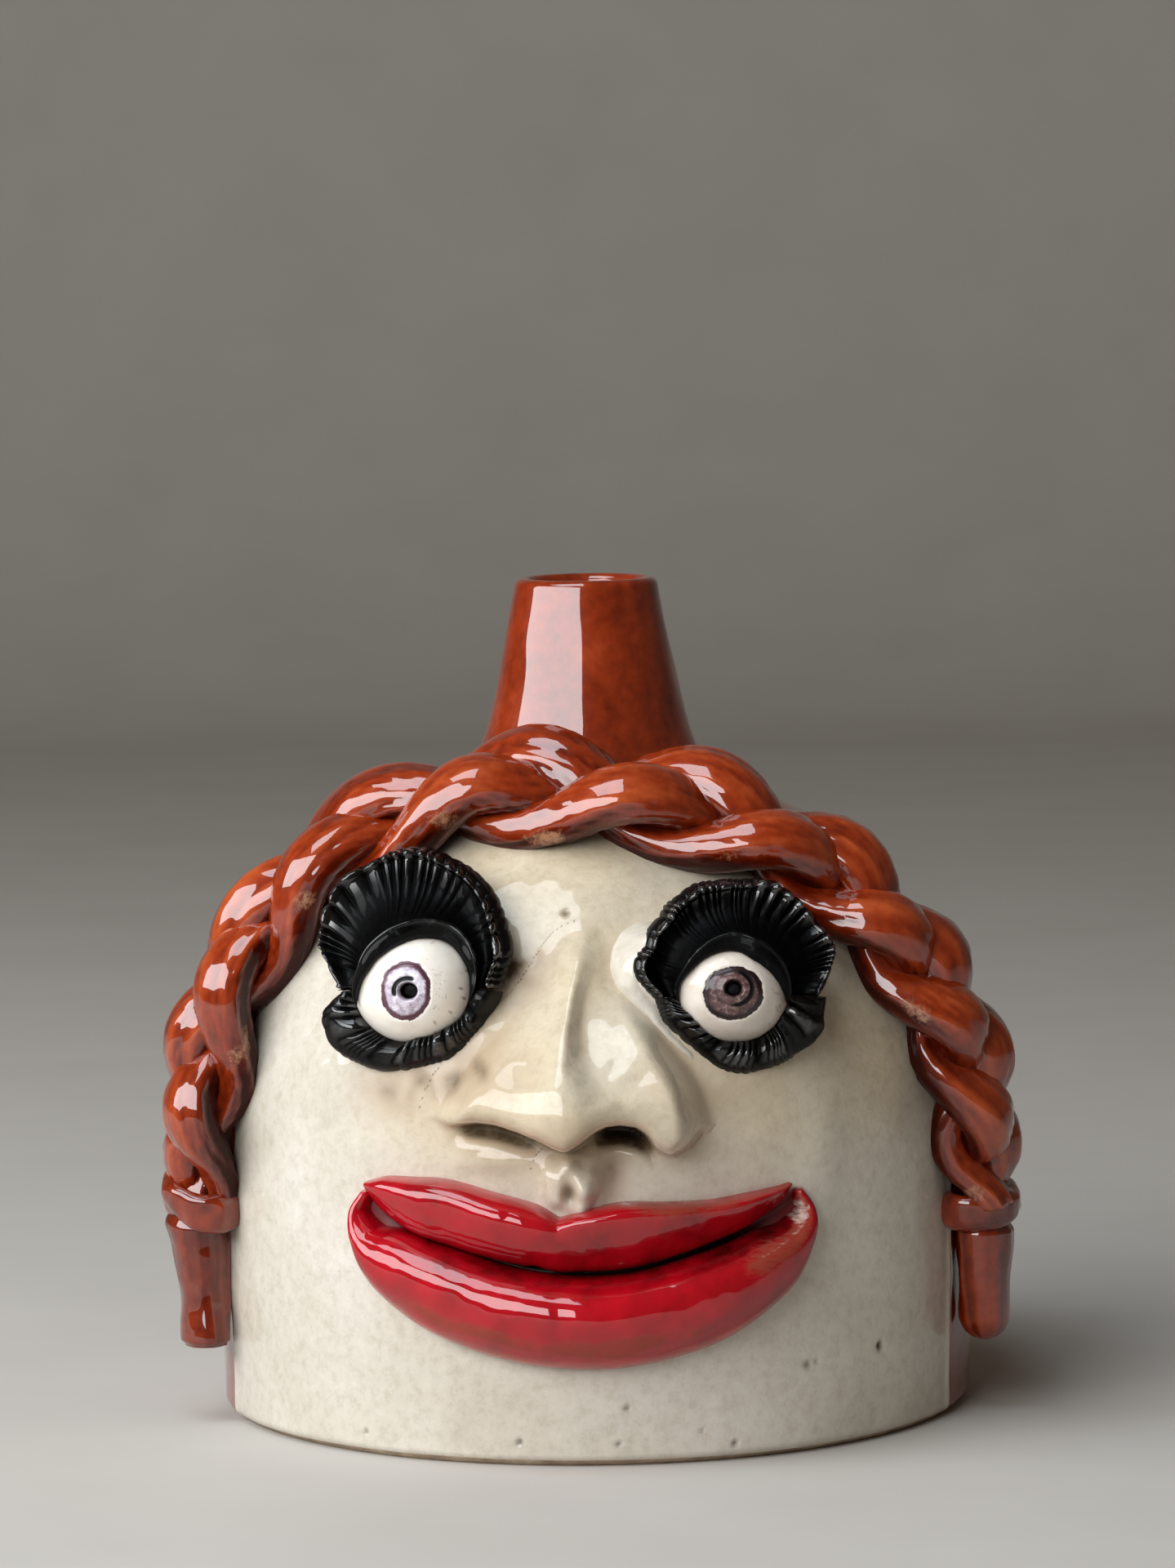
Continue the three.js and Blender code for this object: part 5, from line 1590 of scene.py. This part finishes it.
def ball_specks_and_shade(side, local, ball):
    """Specks on the right-hand part of a ball, and painted shade towards its right edge and, on the right
    ball, towards its lower edge.
    """
    right, up = local[..., 0], local[..., 1]
    speck = smoothstep(noise(local * ball, 1.25, 84 + len(side)), 0.66, 0.78) * smoothstep(right, 1, 7)
    if side == "left":
        return 0.8 * speck + 0.25 * smoothstep(right, 8, 12)
    return 0.8 * speck * 0.6 + 0.5 * smoothstep(right, 6.5, 10) + 0.2 * smoothstep(-up, 5, 10)


def add_eyeball(side):
    centre, forward, right, up = EYE_FRAMES[side]
    ball = EYES[side]["ball"]
    shape = IRIS[side]
    pupil_x, pupil_y = on_ball(side, shape["pupil"])
    iris_x, iris_y = on_ball(side, shape["middle"])
    axis = np.array([pupil_x, pupil_y, math.sqrt(ball**2 - pupil_x**2 - pupil_y**2)]) / ball
    beside = unit(np.cross([0, 1.0, 0], axis))
    over = np.cross(axis, beside)
    near = np.arcsin(np.linspace(*BALL_FRONT) / ball)
    far = np.linspace(near[-1], math.pi - BALL_BACK_POLE, BALL_BACK_ROWS)[1:]
    polar, spin = np.meshgrid(np.concatenate([near, far]), around(BALL_SIDES), indexing="ij")
    sideways = beside * (np.sin(polar) * np.cos(spin))[..., None]
    upwards = over * (np.sin(polar) * np.sin(spin))[..., None]
    local = axis * np.cos(polar)[..., None] + (sideways + upwards)
    x = ball * np.sin(polar) * np.cos(spin)
    y = ball * np.sin(polar) * np.sin(spin)
    front = polar < math.pi / 2
    turn = np.arctan2(y, x)
    ragged = 1 + layers(wound(turn, 0.0, 3), (0.035, 1.1, 82))
    iris_right = (x - (iris_x - pupil_x)) / shape["half_width"]
    iris_up = (y - (iris_y - pupil_y)) / shape["half_height"]
    iris = np.where(front, np.hypot(iris_right, iris_up) * ragged, 9.0)
    distance = np.where(front, np.hypot(x, y), FAR_OFF)
    hole = 1 - smoothstep(distance, shape["hole"] * 0.8, shape["hole"] * 1.12)
    ring = bell(distance, shape["ring"], RING_WIDTH) * ring_arc(side, turn)
    radius = ball - IRIS_CUT * bell(iris, *IRIS_EDGE) - RING_CUT * ring - PUPIL_CUT * hole
    radius = radius + layers(local * ball, *BALL_UNEVEN)
    local = local * radius[..., None] * [1, BALL_FLATTENING, 1]
    points = centre + local @ np.stack([right, up, forward])
    stain_and_shade = ball_specks_and_shade(side, local, ball) * smoothstep(iris, 1.05, 1.2)
    values = {"iris": iris, "ink": np.maximum(hole, 0.92 * ring), "stain_and_shade": np.clip(stain_and_shade, 0, 1)}
    node = f"{side}_eyeball"
    add_loft(f"{node}_globe", points, [eye_glaze(side)], [node], values)


# Forward distances between which the wall is looked for, and the number of halvings
WALL_SEARCH = (-45.0, 14.0)
WALL_HALVINGS = 30


def wall_ahead(side, angle, radius):
    """Forward distance at which the hollowed wall lies, for places round an eye."""
    low = np.full_like(angle, WALL_SEARCH[0])
    high = np.full_like(angle, WALL_SEARCH[1])
    turn = np.radians(angle)
    dip = eye_hollow(radius * np.cos(turn), radius * np.sin(turn))
    for _ in range(WALL_HALVINGS):
        middle = (low + high) / 2
        spot = eye_points(side, angle, radius, middle)
        outside = np.hypot(spot[..., 0], spot[..., 1]) > body_radius(spot[..., 2]) + dip
        high = np.where(outside, middle, high)
        low = np.where(outside, low, middle)
    return (low + high) / 2


# Collar: room round the ball, forward distance of its front edge and how far it spreads to its foot
COLLAR_ROOM = 1.4
COLLAR_AHEAD = 0.4
COLLAR_SPREAD = 6.5
# The flange beside the right eye: the same, and the degrees outside and inside its ends where it fades
FLANGE_INSET = 3.9
FLANGE_AHEAD = 0.4
FLANGE_SPREAD = 4.3
FLANGE_FADE = (2, 22)
COLLAR_SIDES = 240
COLLAR_ROWS = 18
COLLAR_EDGE_TURNS = (20, 60, 100, 140, 170)
COLLAR_UNEVEN = [(0.28, 5, 91), (0.12, 2, 92)]
# Stains with painted shade on the collar: a share all round, then darker stretches by strength, angle and
# width
COLLAR_STAINS_AND_SHADE = {"left": (0.3, [(0.75, 5, 38), (0.5, 185, 22)]), "right": (0.05, [(0.25, 260, 40)])}


def collar_reach(side, angle):
    """Radius and forward distance of the collar's front edge, how far it spreads and how round it is."""
    radius = (EYES[side]["ball"] + COLLAR_ROOM) * squash(angle)
    if side == "left":
        plain = np.zeros_like(angle)
        return radius, COLLAR_AHEAD + plain, COLLAR_SPREAD + plain, plain
    table = edge_table(side, FLANGE_OUTLINE, lambda a, r: np.full_like(a, -1.0), 0)
    first, last = table[0, 0], table[-1, 0]
    outside, inside = FLANGE_FADE
    share = window(angle, (first - outside, first + inside), (last - inside, last + outside))
    radius = lerp(radius, along_edge(table, angle) - FLANGE_INSET, share)
    return radius, COLLAR_AHEAD + FLANGE_AHEAD * share, lerp(COLLAR_SPREAD, FLANGE_SPREAD, share), share


def add_socket(side):
    angle = np.linspace(0, 360, COLLAR_SIDES, endpoint=False)
    front_radius, front_ahead, spread, roundness = collar_reach(side, angle)
    foot_radius = front_radius + spread
    near_radius = foot_radius - spread * lerp(0.5, 0.08, roundness)
    neck_radius = front_radius + lerp(0.7, 0.55 * spread, roundness)
    foot_wall = wall_ahead(side, angle, foot_radius)
    near_wall = wall_ahead(side, angle, near_radius)
    foot = eye_points(side, angle, foot_radius, foot_wall - 1.2)
    shoulder = eye_points(side, angle, near_radius, near_wall + lerp(0.2, 2.2, roundness))
    neck = eye_points(side, angle, neck_radius, front_ahead + lerp(-2.6, 0.4, roundness))
    edge = eye_points(side, angle, front_radius, front_ahead)
    loops = []
    for t in np.linspace(0, 1, COLLAR_ROWS):
        a, b, c, d = (1 - t) ** 3, 3 * t * (1 - t) ** 2, 3 * t * t * (1 - t), t**3
        loops.append(a * foot + b * shoulder + c * neck + d * edge)
    for turn in np.radians(COLLAR_EDGE_TURNS):
        radius = front_radius - 0.6 + 0.6 * math.cos(turn)
        loops.append(eye_points(side, angle, radius, front_ahead + 0.7 * math.sin(turn)))
    inner_radius = (EYES[side]["ball"] - 0.6) * squash(angle)
    loops.append(eye_points(side, angle, front_radius - 1.5, front_ahead - 2.0))
    loops.append(eye_points(side, angle, inner_radius, np.full_like(angle, -3.5)))
    loops.append(eye_points(side, angle, inner_radius, np.full_like(angle, -9.0)))
    loops.append(eye_points(side, angle, foot_radius, foot_wall - 4.5))
    loops = np.array(loops)
    loops = loops + layers(loops, *COLLAR_UNEVEN)[..., None] * EYE_FRAMES[side][1]
    least, bumps = COLLAR_STAINS_AND_SHADE[side]
    stain_and_shade = least + sum(high * bell(apart(angle, middle), 0, width) for high, middle, width in bumps)
    stain_and_shade = np.repeat(np.clip(stain_and_shade, 0, 1)[None], len(loops), 0)
    node = f"{side}_eye_socket"
    add_loft(f"{node}_collar", loops, [cream], [node], {"stain_and_shade": stain_and_shade}, ring=True)


# Half width of the lid's roll at its ends and at its middle
LID_HALF_WIDTH = (0.4, 2.1)


def lid_shape(side, angle):
    """Radius of the lid's edge on the ball and half width of its roll."""
    table = edge_table(side, LID_EDGE[side], lambda a, r: ball_ahead(side, a, r, 0.4), -90)
    edge = np.minimum(along_edge(table, angle), ball_edge(side, angle) - 0.3)
    share = np.clip((angle - table[0, 0]) / (table[-1, 0] - table[0, 0]), 0, 1)
    half = lerp(LID_HALF_WIDTH[0], LID_HALF_WIDTH[1], np.sin(math.pi * share**0.8) ** 1.2)
    return table, edge, half


LID_SIDES = 36
LID_ROWS = 150
LID_OVERRUN = 4
LID_THICKNESS = 1.15
# Bead along the lid's edge: height, angle round the roll and width
LID_BEAD = (0.5, 0.6, 0.35)
# How shiny the lid is
LID_GLOSS = {"left": 1.0, "right": 0.3}


def lid_ahead(side, angle, edge, sigma):
    """Forward distance of the lid's middle line."""
    return smooth_along(ball_ahead(side, angle, edge + 0.8, 0.9, 4.2), sigma)


def add_lid(side):
    table, _, _ = lid_shape(side, np.zeros(1))
    angle = np.linspace(table[0, 0] - LID_OVERRUN, table[-1, 0] + LID_OVERRUN, LID_ROWS)
    _, edge, half = lid_shape(side, angle)
    edge = smooth_along(edge, 3)
    centre = eye_points(side, angle, edge + half, lid_ahead(side, angle, edge, 3))
    middle, forward = EYE_FRAMES[side][:2]
    radial = unit(eye_points(side, angle, np.ones_like(angle), np.zeros_like(angle)) - middle)
    theta = around(LID_SIDES)
    share = np.linspace(0, 1, len(angle))
    end = np.sqrt(np.clip(np.minimum(share, 1 - share) / 0.05, 0.03, 1))[:, None]
    bead = LID_BEAD[0] * bell(theta, *LID_BEAD[1:])
    wide = half[:, None] * end * np.cos(theta)
    loops = tube(centre, radial, forward[None], wide, LID_THICKNESS * end * (np.sin(theta) + bead))
    loops = loops + forward * layers(loops, (0.18, 2.6, 95))[..., None]
    shade = layers(loops, (0.5, 1.8, 96)) + 0.9 * bead
    gloss = (0.10 + 1.2 * bead) * LID_GLOSS[side] + 0 * shade
    node = f"{side}_upper_lid"
    add_loft(f"{node}_roll", loops, [black], [node], {"shade": shade, "gloss": gloss})


# Upper lashes: how far forward they stand, how far they lean back at the tips, number and depth of the
# flutes, and whether the rolled rim widens towards its right end
UPPER_FRONT = 4.6
UPPER_LASH = {
    "left": dict(lean=8, flutes=27, depth=1.0, rim_widens=True),
    "right": dict(lean=6, flutes=33, depth=0.55, rim_widens=False),
}
UPPER_SAG = 3.6
UPPER_ROWS = 18
LOWER_ROWS = 22
LOWER_SLANT = 1.6
LOWER_FLUTES = 22
UPPER_COLUMNS = 620
LOWER_COLUMNS = 500
# Turns over the rim, then rows down its outside and along the back, as a share and a drop
UPPER_RIM_TURNS = (70, 45, 20, 0, -25)
UPPER_OUTSIDE = [(0.35, 1.6), (0.75, 3.0), (1.0, 4.6), (0.9, 6.0)]
UPPER_BACK = (0.75, 0.4, 0.0)
LOWER_OUTSIDE = [(0.78, 0.5), (0.88, 1.3), (0.96, 2.4), (1.0, 3.6), (0.98, 5.0)]
LOWER_BACK = [(0.6, 6.0), (0.2, 5.0), (-0.05, 3.0)]
RIM_THICKNESS = 1.25


def flutes(share, count, seed):
    """Rounded ribs along a lash, uneven in width and strength, and a slower sway."""
    line = np.outer(share * count, [1, 0, 0])
    phase = share * count + 1.5 * noise(line, 2.4, seed) + 0.35 * noise(line, 1.1, seed + 3)
    rib = np.abs(np.sin(math.pi * phase)) ** 0.75
    return rib * np.clip(0.82 + 0.6 * noise(line, 1.5, seed + 1), 0.4, 1.25), noise(line, 3.1, seed + 2)


def add_fan(side, part, angle, rows):
    """Lash from rows across it: each row's radius, forward distance, shade and gloss."""
    radii, distances, shades, glosses = zip(*rows)
    loops = [eye_points(side, angle, radius, ahead) for radius, ahead in zip(radii, distances)]
    loops, shade, gloss = [np.moveaxis(np.array(grid), 0, 1) for grid in (loops, shades, glosses)]
    node = f"{side}_{part}"
    add_loft(f"{node}_fan", loops, [black], [node], {"shade": shade, "gloss": gloss})


def add_upper_lash(side):
    ball = EYES[side]["ball"]
    lash = UPPER_LASH[side]

    def ahead_at(angle, radius):
        height = np.clip(np.sin(np.radians(angle)), 0, 1)
        return UPPER_FRONT - lash["lean"] * (radius - ball) / 16 * height

    table = edge_table(side, UPPER_OUTLINE[side], ahead_at, -90)
    angle = np.linspace(table[0, 0], table[-1, 0], UPPER_COLUMNS)
    share = np.linspace(0, 1, UPPER_COLUMNS)
    rib, sway = flutes(share, lash["flutes"], 101 + len(side))
    far = smooth_along(along_edge(table, angle), 5)
    _, lid_edge, half = lid_shape(side, angle)
    near = np.minimum(smooth_along(lid_edge + 2 * half - 0.7, 4), far - 1.6)
    near_ahead = lid_ahead(side, angle, lid_edge, 4) - 0.4
    widening = smoothstep(np.cos(np.radians(angle)), 0.2, 0.95) if lash["rim_widens"] else 0.1
    rim = far - np.minimum(lerp(0.8, 1.7, widening), (far - near) * 0.35)
    thick = RIM_THICKNESS * np.sqrt(np.clip(np.minimum(share, 1 - share) / 0.03, 0.03, 1))
    small = np.clip((rim - near) / 9, 0.25, 1)
    front = ahead_at(angle, far) + 0.5 + 0.9 * sway * small
    depth = lash["depth"]
    rows = []
    for part in np.linspace(0, 1, UPPER_ROWS):
        sag = (UPPER_SAG + 0.8 * sway) * np.sin(math.pi * part**0.85) * small
        cut = lerp(0.35 * depth, 1.2, smoothstep(part, 0.45, 0.95))
        groove = cut * (rib - 0.9) * smoothstep(part, 0, 0.2) * small
        gloss = rib**2 * smoothstep(part, 0.78, 1.0) + 0.10 * depth**3 * rib * smoothstep(part, 0.3, 0.8)
        ahead = lerp(near_ahead, front, part**1.25) - sag + groove
        rows.append((lerp(near, rim - thick, part), ahead, -0.8 + 0.7 * (rib - 0.3) * part**2, gloss))
    for turn in np.radians(UPPER_RIM_TURNS):
        radius = rim - thick + (thick + 0.7 * (rib - 0.6)) * math.cos(turn) + 0.35 * sway
        ahead = front + 1.2 * (rib - 0.9) * small + thick * (math.sin(turn) - 0.2)
        rows.append((radius, ahead, 0.9 * (rib - 0.35), np.clip(0.25 + 0.95 * rib, 0, 1)))
    for part, drop in UPPER_OUTSIDE:
        radius = rim + (far - rim) * part + 0.4 * (rib - 0.6) + 0.2 * sway
        ahead = front - drop * lerp(0.6, 1, small)
        rows.append((radius, ahead, 0.4 * (rib - 0.5) - 0.3, 0.1 + 0.15 * rib))
    for part in UPPER_BACK:
        ahead = lerp(near_ahead - 3.5, front - 6.2, part) - 0.6 * small
        rows.append((lerp(near - 0.5, rim - 1, part), ahead, 0 * rib - 0.4, 0 * rib))
    add_fan(side, "upper_lash", angle, rows)


def add_lower_lash(side):
    table = edge_table(side, LOWER_OUTLINE[side], lambda a, r: np.full_like(a, 2.0), 90)
    inner = edge_table(side, LOWER_EDGE[side], lambda a, r: ball_ahead(side, a, r, 0.3), 90)
    angle = np.linspace(table[0, 0], table[-1, 0], LOWER_COLUMNS)
    share = np.linspace(0, 1, LOWER_COLUMNS)
    rib, sway = flutes(share, LOWER_FLUTES, 111 + len(side))
    far = smooth_along(along_edge(table, angle), 5)
    near = smooth_along(np.minimum(along_edge(inner, angle), ball_edge(side, angle) - 0.4), 5)
    near = np.minimum(near, far - 1.4)
    ends = np.sqrt(np.clip(np.minimum(share, 1 - share) / 0.04, 0.05, 1))
    near_ahead = smooth_along(ball_ahead(side, angle, near, 0.35, 2.2), 4)
    width = far - near
    crest_ahead = smooth_along(np.maximum(near_ahead - 0.6, 5.0), 10)
    thick_side = smoothstep(width, 3.0, 7.0)
    rows = []
    for part in np.linspace(0, 1, LOWER_ROWS):
        slanted = np.interp(share + LOWER_SLANT * (part - 0.5) * 0.03, share, rib)
        swell = 0.9 * np.sin(math.pi * part) * lerp(0.7, 1.2, thick_side)
        groove = 0.95 * (slanted - 0.75) * np.sin(math.pi * min(part + 0.12, 1) ** 0.9)
        ahead = lerp(near_ahead, crest_ahead, part) + (swell + groove) * ends
        shade = 0.9 * (slanted - 0.5) + 0.2 * np.sin(math.pi * part) - 0.1
        rows.append((near + width * 0.66 * part, ahead, shade, np.clip(0.1 + 1.1 * (slanted - 0.3), 0, 1)))
    for part, drop in LOWER_OUTSIDE:
        radius = near + width * part + 0.25 * (rib - 0.6) + 0.2 * sway
        rows.append((radius, crest_ahead - drop, 0.5 * (rib - 0.5) - 0.25, 0.1 + 0.2 * rib))
    for part, drop in LOWER_BACK:
        ahead = lerp(near_ahead, crest_ahead, max(part, 0)) - drop
        rows.append((near + width * part, ahead, 0 * rib - 0.4, 0 * rib))
    add_fan(side, "lower_lash", angle, rows)


for eye_side in EYES:
    add_eyeball(eye_side)
    add_socket(eye_side)
    add_lid(eye_side)
    add_upper_lash(eye_side)
    add_lower_lash(eye_side)


# Lips
LIP_ROWS = 230
LIP_SIDES = 60
# Where across its width each lip is fullest: -1 is its lower edge and 1 its upper. The lower lip is even
# at its corners, and the upper lip has its own place on the left. Then the bluntness of the roll
LIP_PEAK = {"upper": 0.68, "lower": 0.2}
UPPER_LEFT_PEAK = 0.36
LIP_BLUNTNESS = {"upper": 0.86, "lower": 0.95}
LIP_UNEVEN = [(0.42, 10, 121), (0.16, 3.4, 122), (0.05, 1.3, 124)]
LIP_CLOUD = [(0.2, 6, 123), (0.12, 2.2, 125)]
LIP_PATCHES = (0.6, 5, 126)


def lip_frame(stations):
    """Middle line of a lip, directions across and out of it, half width, thickness and azimuth."""
    azimuth, top, bottom, rise = through(stations, LIP_ROWS).T
    top = top + SHOULDER
    bottom = bottom + SHOULDER
    middle = (top + bottom) / 2
    reach = body_radius(middle) * math.pi / 180
    run = np.gradient(azimuth) * reach
    climb = np.gradient(middle)
    length = np.hypot(run, climb)
    out = body_normal(azimuth, middle)
    turn = np.radians(azimuth)
    right = np.stack([np.cos(turn), np.sin(turn), 0 * turn], -1)
    up = unit(np.cross(right, out))
    up = np.where(up[:, 2:] < 0, -up, up)
    across = up * (run / length)[:, None] - right * (climb / length)[:, None]
    share = np.maximum(np.abs(run / length), LIP_CORNER_SHARE)
    half = (top - bottom) / 2 * share
    return on_body(azimuth, middle, -LIP_SEAT), across, out, half, rise + LIP_SEAT, azimuth


def upper_lip_wear(level, azimuth, patchy):
    """Darker lower edge, worn right half and pale upper rim, as shade, worn and pale."""
    shade = -0.25 - 0.8 * smoothstep(-level, 0.7, 1.0)
    worn = (0.25 + 0.7 * smoothstep(level, 0.3, 0.9) * smoothstep(azimuth, -2, 5)) * patchy
    return shade, worn, 0.4 * smoothstep(level, 0.985, 1.0)


def lower_lip_wear(level, azimuth, patchy):
    """Dark edges, a worn band low on the left and a chipped right corner, as shade, worn and pale."""
    shade = -0.9 * smoothstep(level, 0.62, 0.95) - 0.5 * smoothstep(-level, 0.82, 1.0)
    shade = shade - 0.5 * smoothstep(azimuth, 8, 26)
    band = bell(level, -0.42, 0.26) * smoothstep(azimuth, -34, -24) * (1 - smoothstep(azimuth, 4, 24))
    corner = smoothstep(azimuth, 16, 27) * bell(level, 0.5, 0.42)
    chip = 0.7 * smoothstep(azimuth, 29.6, 31.4) * smoothstep(level, 0.0, 0.8)
    streak = 0.55 * smoothstep(azimuth, 15, 28) * bell(level, 0.62, 0.09)
    return shade, (1.3 * band + 0.9 * corner + 0.14) * patchy, np.maximum(chip, streak) * patchy


LIP_WEAR = {"upper": upper_lip_wear, "lower": lower_lip_wear}


def add_lip(name, stations):
    centre, across, out, half, thick, azimuth = lip_frame(stations)
    theta = around(LIP_SIDES)
    cosine, sine = np.cos(theta)[None], np.sin(theta)[None]
    if name == "lower":
        peak = lerp(LIP_PEAK[name], 0.0, smoothstep(np.abs(azimuth), 26, 33))[:, None]
    else:
        peak = lerp(UPPER_LEFT_PEAK, LIP_PEAK[name], smoothstep(azimuth, -10, -3))[:, None]
    skewed = (cosine - peak) / (1 - peak * cosine)
    full = np.sqrt(np.clip(1 - skewed**2, 0, 1)) ** LIP_BLUNTNESS[name]
    rise = np.where(sine > 0, full, sine)
    loops = tube(centre, across, out, half[:, None] * cosine, thick[:, None] * rise)
    loops = loops + out[:, None] * (layers(loops, *LIP_UNEVEN) * np.clip(sine, 0, 1))[..., None]
    patchy = 0.75 + layers(loops, LIP_PATCHES)
    shade, worn, pale = LIP_WEAR[name](*np.broadcast_arrays(cosine, azimuth[:, None]), patchy)
    shade = layers(loops, *LIP_CLOUD) + shade
    values = {"shade": shade, "worn": np.clip(worn, 0, 1), "pale": np.clip(pale, 0, 1)}
    node = f"{name}_lip"
    add_loft(f"{node}_roll", loops, [red], [node], values)


add_lip("upper", UPPER_LIP)
add_lip("lower", LOWER_LIP)


# Studio in metres: the floor's front and back ends and half width, the bend up into the backdrop and
# the backdrop's height
FLOOR_FRONT = -3.0
FLOOR_BACK = 1.5
FLOOR_HALF_WIDTH = 3.6
BACKDROP_BEND = 0.5
BACKDROP_TOP = 3.0
BEND_STEPS = 16
PAPER = [(0.3, (0.52, 0.495, 0.455)), (0.7, (0.55, 0.525, 0.485))]
# Soft lamps to the left and above, the height that the first aims at, and the dim even room
WINDOW_LEFT = dict(azimuth=-50, low=11, high=41, near_edge=-92, far_edge=-9, distance=1.0, radiance=5.9,
                   colour=(0.965, 0.98, 1.0))
WINDOW_ABOVE = dict(across=(-0.72, -0.05), along=(-0.72, -0.04), height=1.1, radiance=4.8,
                    colour=(0.84, 0.93, 1.0))
LAMP_TARGET = 0.075
ROOM_COLOUR = (1.0, 0.78, 0.57, 1)
ROOM_STRENGTH = 0.085


def add_stage():
    profile = [(FLOOR_FRONT, 0.0), (FLOOR_BACK, 0.0)]
    for step in range(1, BEND_STEPS + 1):
        angle = math.pi / 2 * step / BEND_STEPS
        back = FLOOR_BACK + BACKDROP_BEND * math.sin(angle)
        profile.append((back, BACKDROP_BEND * (1 - math.cos(angle))))
    profile.append((FLOOR_BACK + BACKDROP_BEND, BACKDROP_TOP))
    points = [(x, y, z) for y, z in profile for x in (-FLOOR_HALF_WIDTH, FLOOR_HALF_WIDTH)]
    faces = [(2 * i, 2 * i + 1, 2 * i + 3, 2 * i + 2) for i in range(len(profile) - 1)]
    mesh = bpy.data.meshes.new("studio_floor")
    mesh.from_pydata(points, [], faces)
    mesh.polygons.foreach_set("use_smooth", [True] * len(faces))
    paper = Glaze("studio_paper", roughness=0.9)
    paper.feed("Base Color", paper.ramp(paper.noise(60), PAPER))
    mesh.materials.append(paper.material)
    floor = bpy.data.objects.new("studio_floor", mesh)
    bpy.context.scene.collection.objects.link(floor)


def add_lamp(name, width, height, radiance, colour, placing):
    """Rectangular lamp that is equally bright all over."""
    lamp = bpy.data.lights.new(name, "AREA")
    lamp.shape = "RECTANGLE"
    lamp.size = width
    lamp.size_y = height
    lamp.energy = radiance * math.pi * lamp.size * lamp.size_y
    lamp.color = colour
    panel = bpy.data.objects.new(name, lamp)
    panel.matrix_world = placing
    bpy.context.scene.collection.objects.link(panel)


def add_panel(name, azimuth, low, high, near_edge, far_edge, distance, radiance, colour):
    """Upright lamp round the jug, from one azimuth to another and between two elevations."""
    middle = math.radians(azimuth)
    direction = np.array([math.sin(middle), -math.cos(middle), 0])
    aside = np.array([math.cos(middle), math.sin(middle), 0])
    left = distance * math.tan(math.radians(near_edge - azimuth))
    right = distance * math.tan(math.radians(far_edge - azimuth))
    bottom = LAMP_TARGET + distance * math.tan(math.radians(low))
    top = LAMP_TARGET + distance * math.tan(math.radians(high))
    centre = direction * distance + aside * (left + right) / 2
    centre[2] = (bottom + top) / 2
    axes = Matrix((tuple(aside), (0, 0, 1), tuple(direction))).transposed()
    placing = Matrix.Translation(centre.tolist()) @ axes.to_4x4()
    add_lamp(name, abs(right - left), top - bottom, radiance, colour, placing)


def add_skylight(name, across, along, height, radiance, colour):
    """Level lamp over the jug, between two distances to the side and two front to back."""
    placing = Matrix.Translation((sum(across) / 2, sum(along) / 2, height))
    add_lamp(name, across[1] - across[0], along[1] - along[0], radiance, colour, placing)


def add_room():
    """Dim and even light from all round."""
    world = bpy.data.worlds.new("studio_world")
    world.use_nodes = True
    background = world.node_tree.nodes["Background"]
    background.inputs["Color"].default_value = ROOM_COLOUR
    background.inputs["Strength"].default_value = ROOM_STRENGTH
    bpy.context.scene.world = world


add_stage()
add_panel("window_left", **WINDOW_LEFT)
add_skylight("window_above", **WINDOW_ABOVE)
add_room()


# Camera at the photograph's angle


def add_camera():
    right, up, ahead = camera_axes()
    data = bpy.data.cameras.new("camera")
    data.sensor_fit = "VERTICAL"
    data.sensor_width = SENSOR
    data.sensor_height = SENSOR
    data.lens = SENSOR * FOCAL_PIXELS / FRAME_HEIGHT
    data.shift_x = -SHIFT_RIGHT / FRAME_HEIGHT
    data.shift_y = SHIFT_DOWN / FRAME_HEIGHT
    data.clip_start = CLIP_START
    camera = bpy.data.objects.new("camera", data)
    axes = Matrix((tuple(right), tuple(up), tuple(-ahead))).transposed()
    place = [value * MILLIMETRE for value in CAMERA_PLACE]
    camera.matrix_world = Matrix.Translation(place) @ axes.to_4x4()
    bpy.context.scene.collection.objects.link(camera)
    bpy.context.scene.camera = camera


add_camera()
bpy.context.scene.view_settings.view_transform = "Standard"
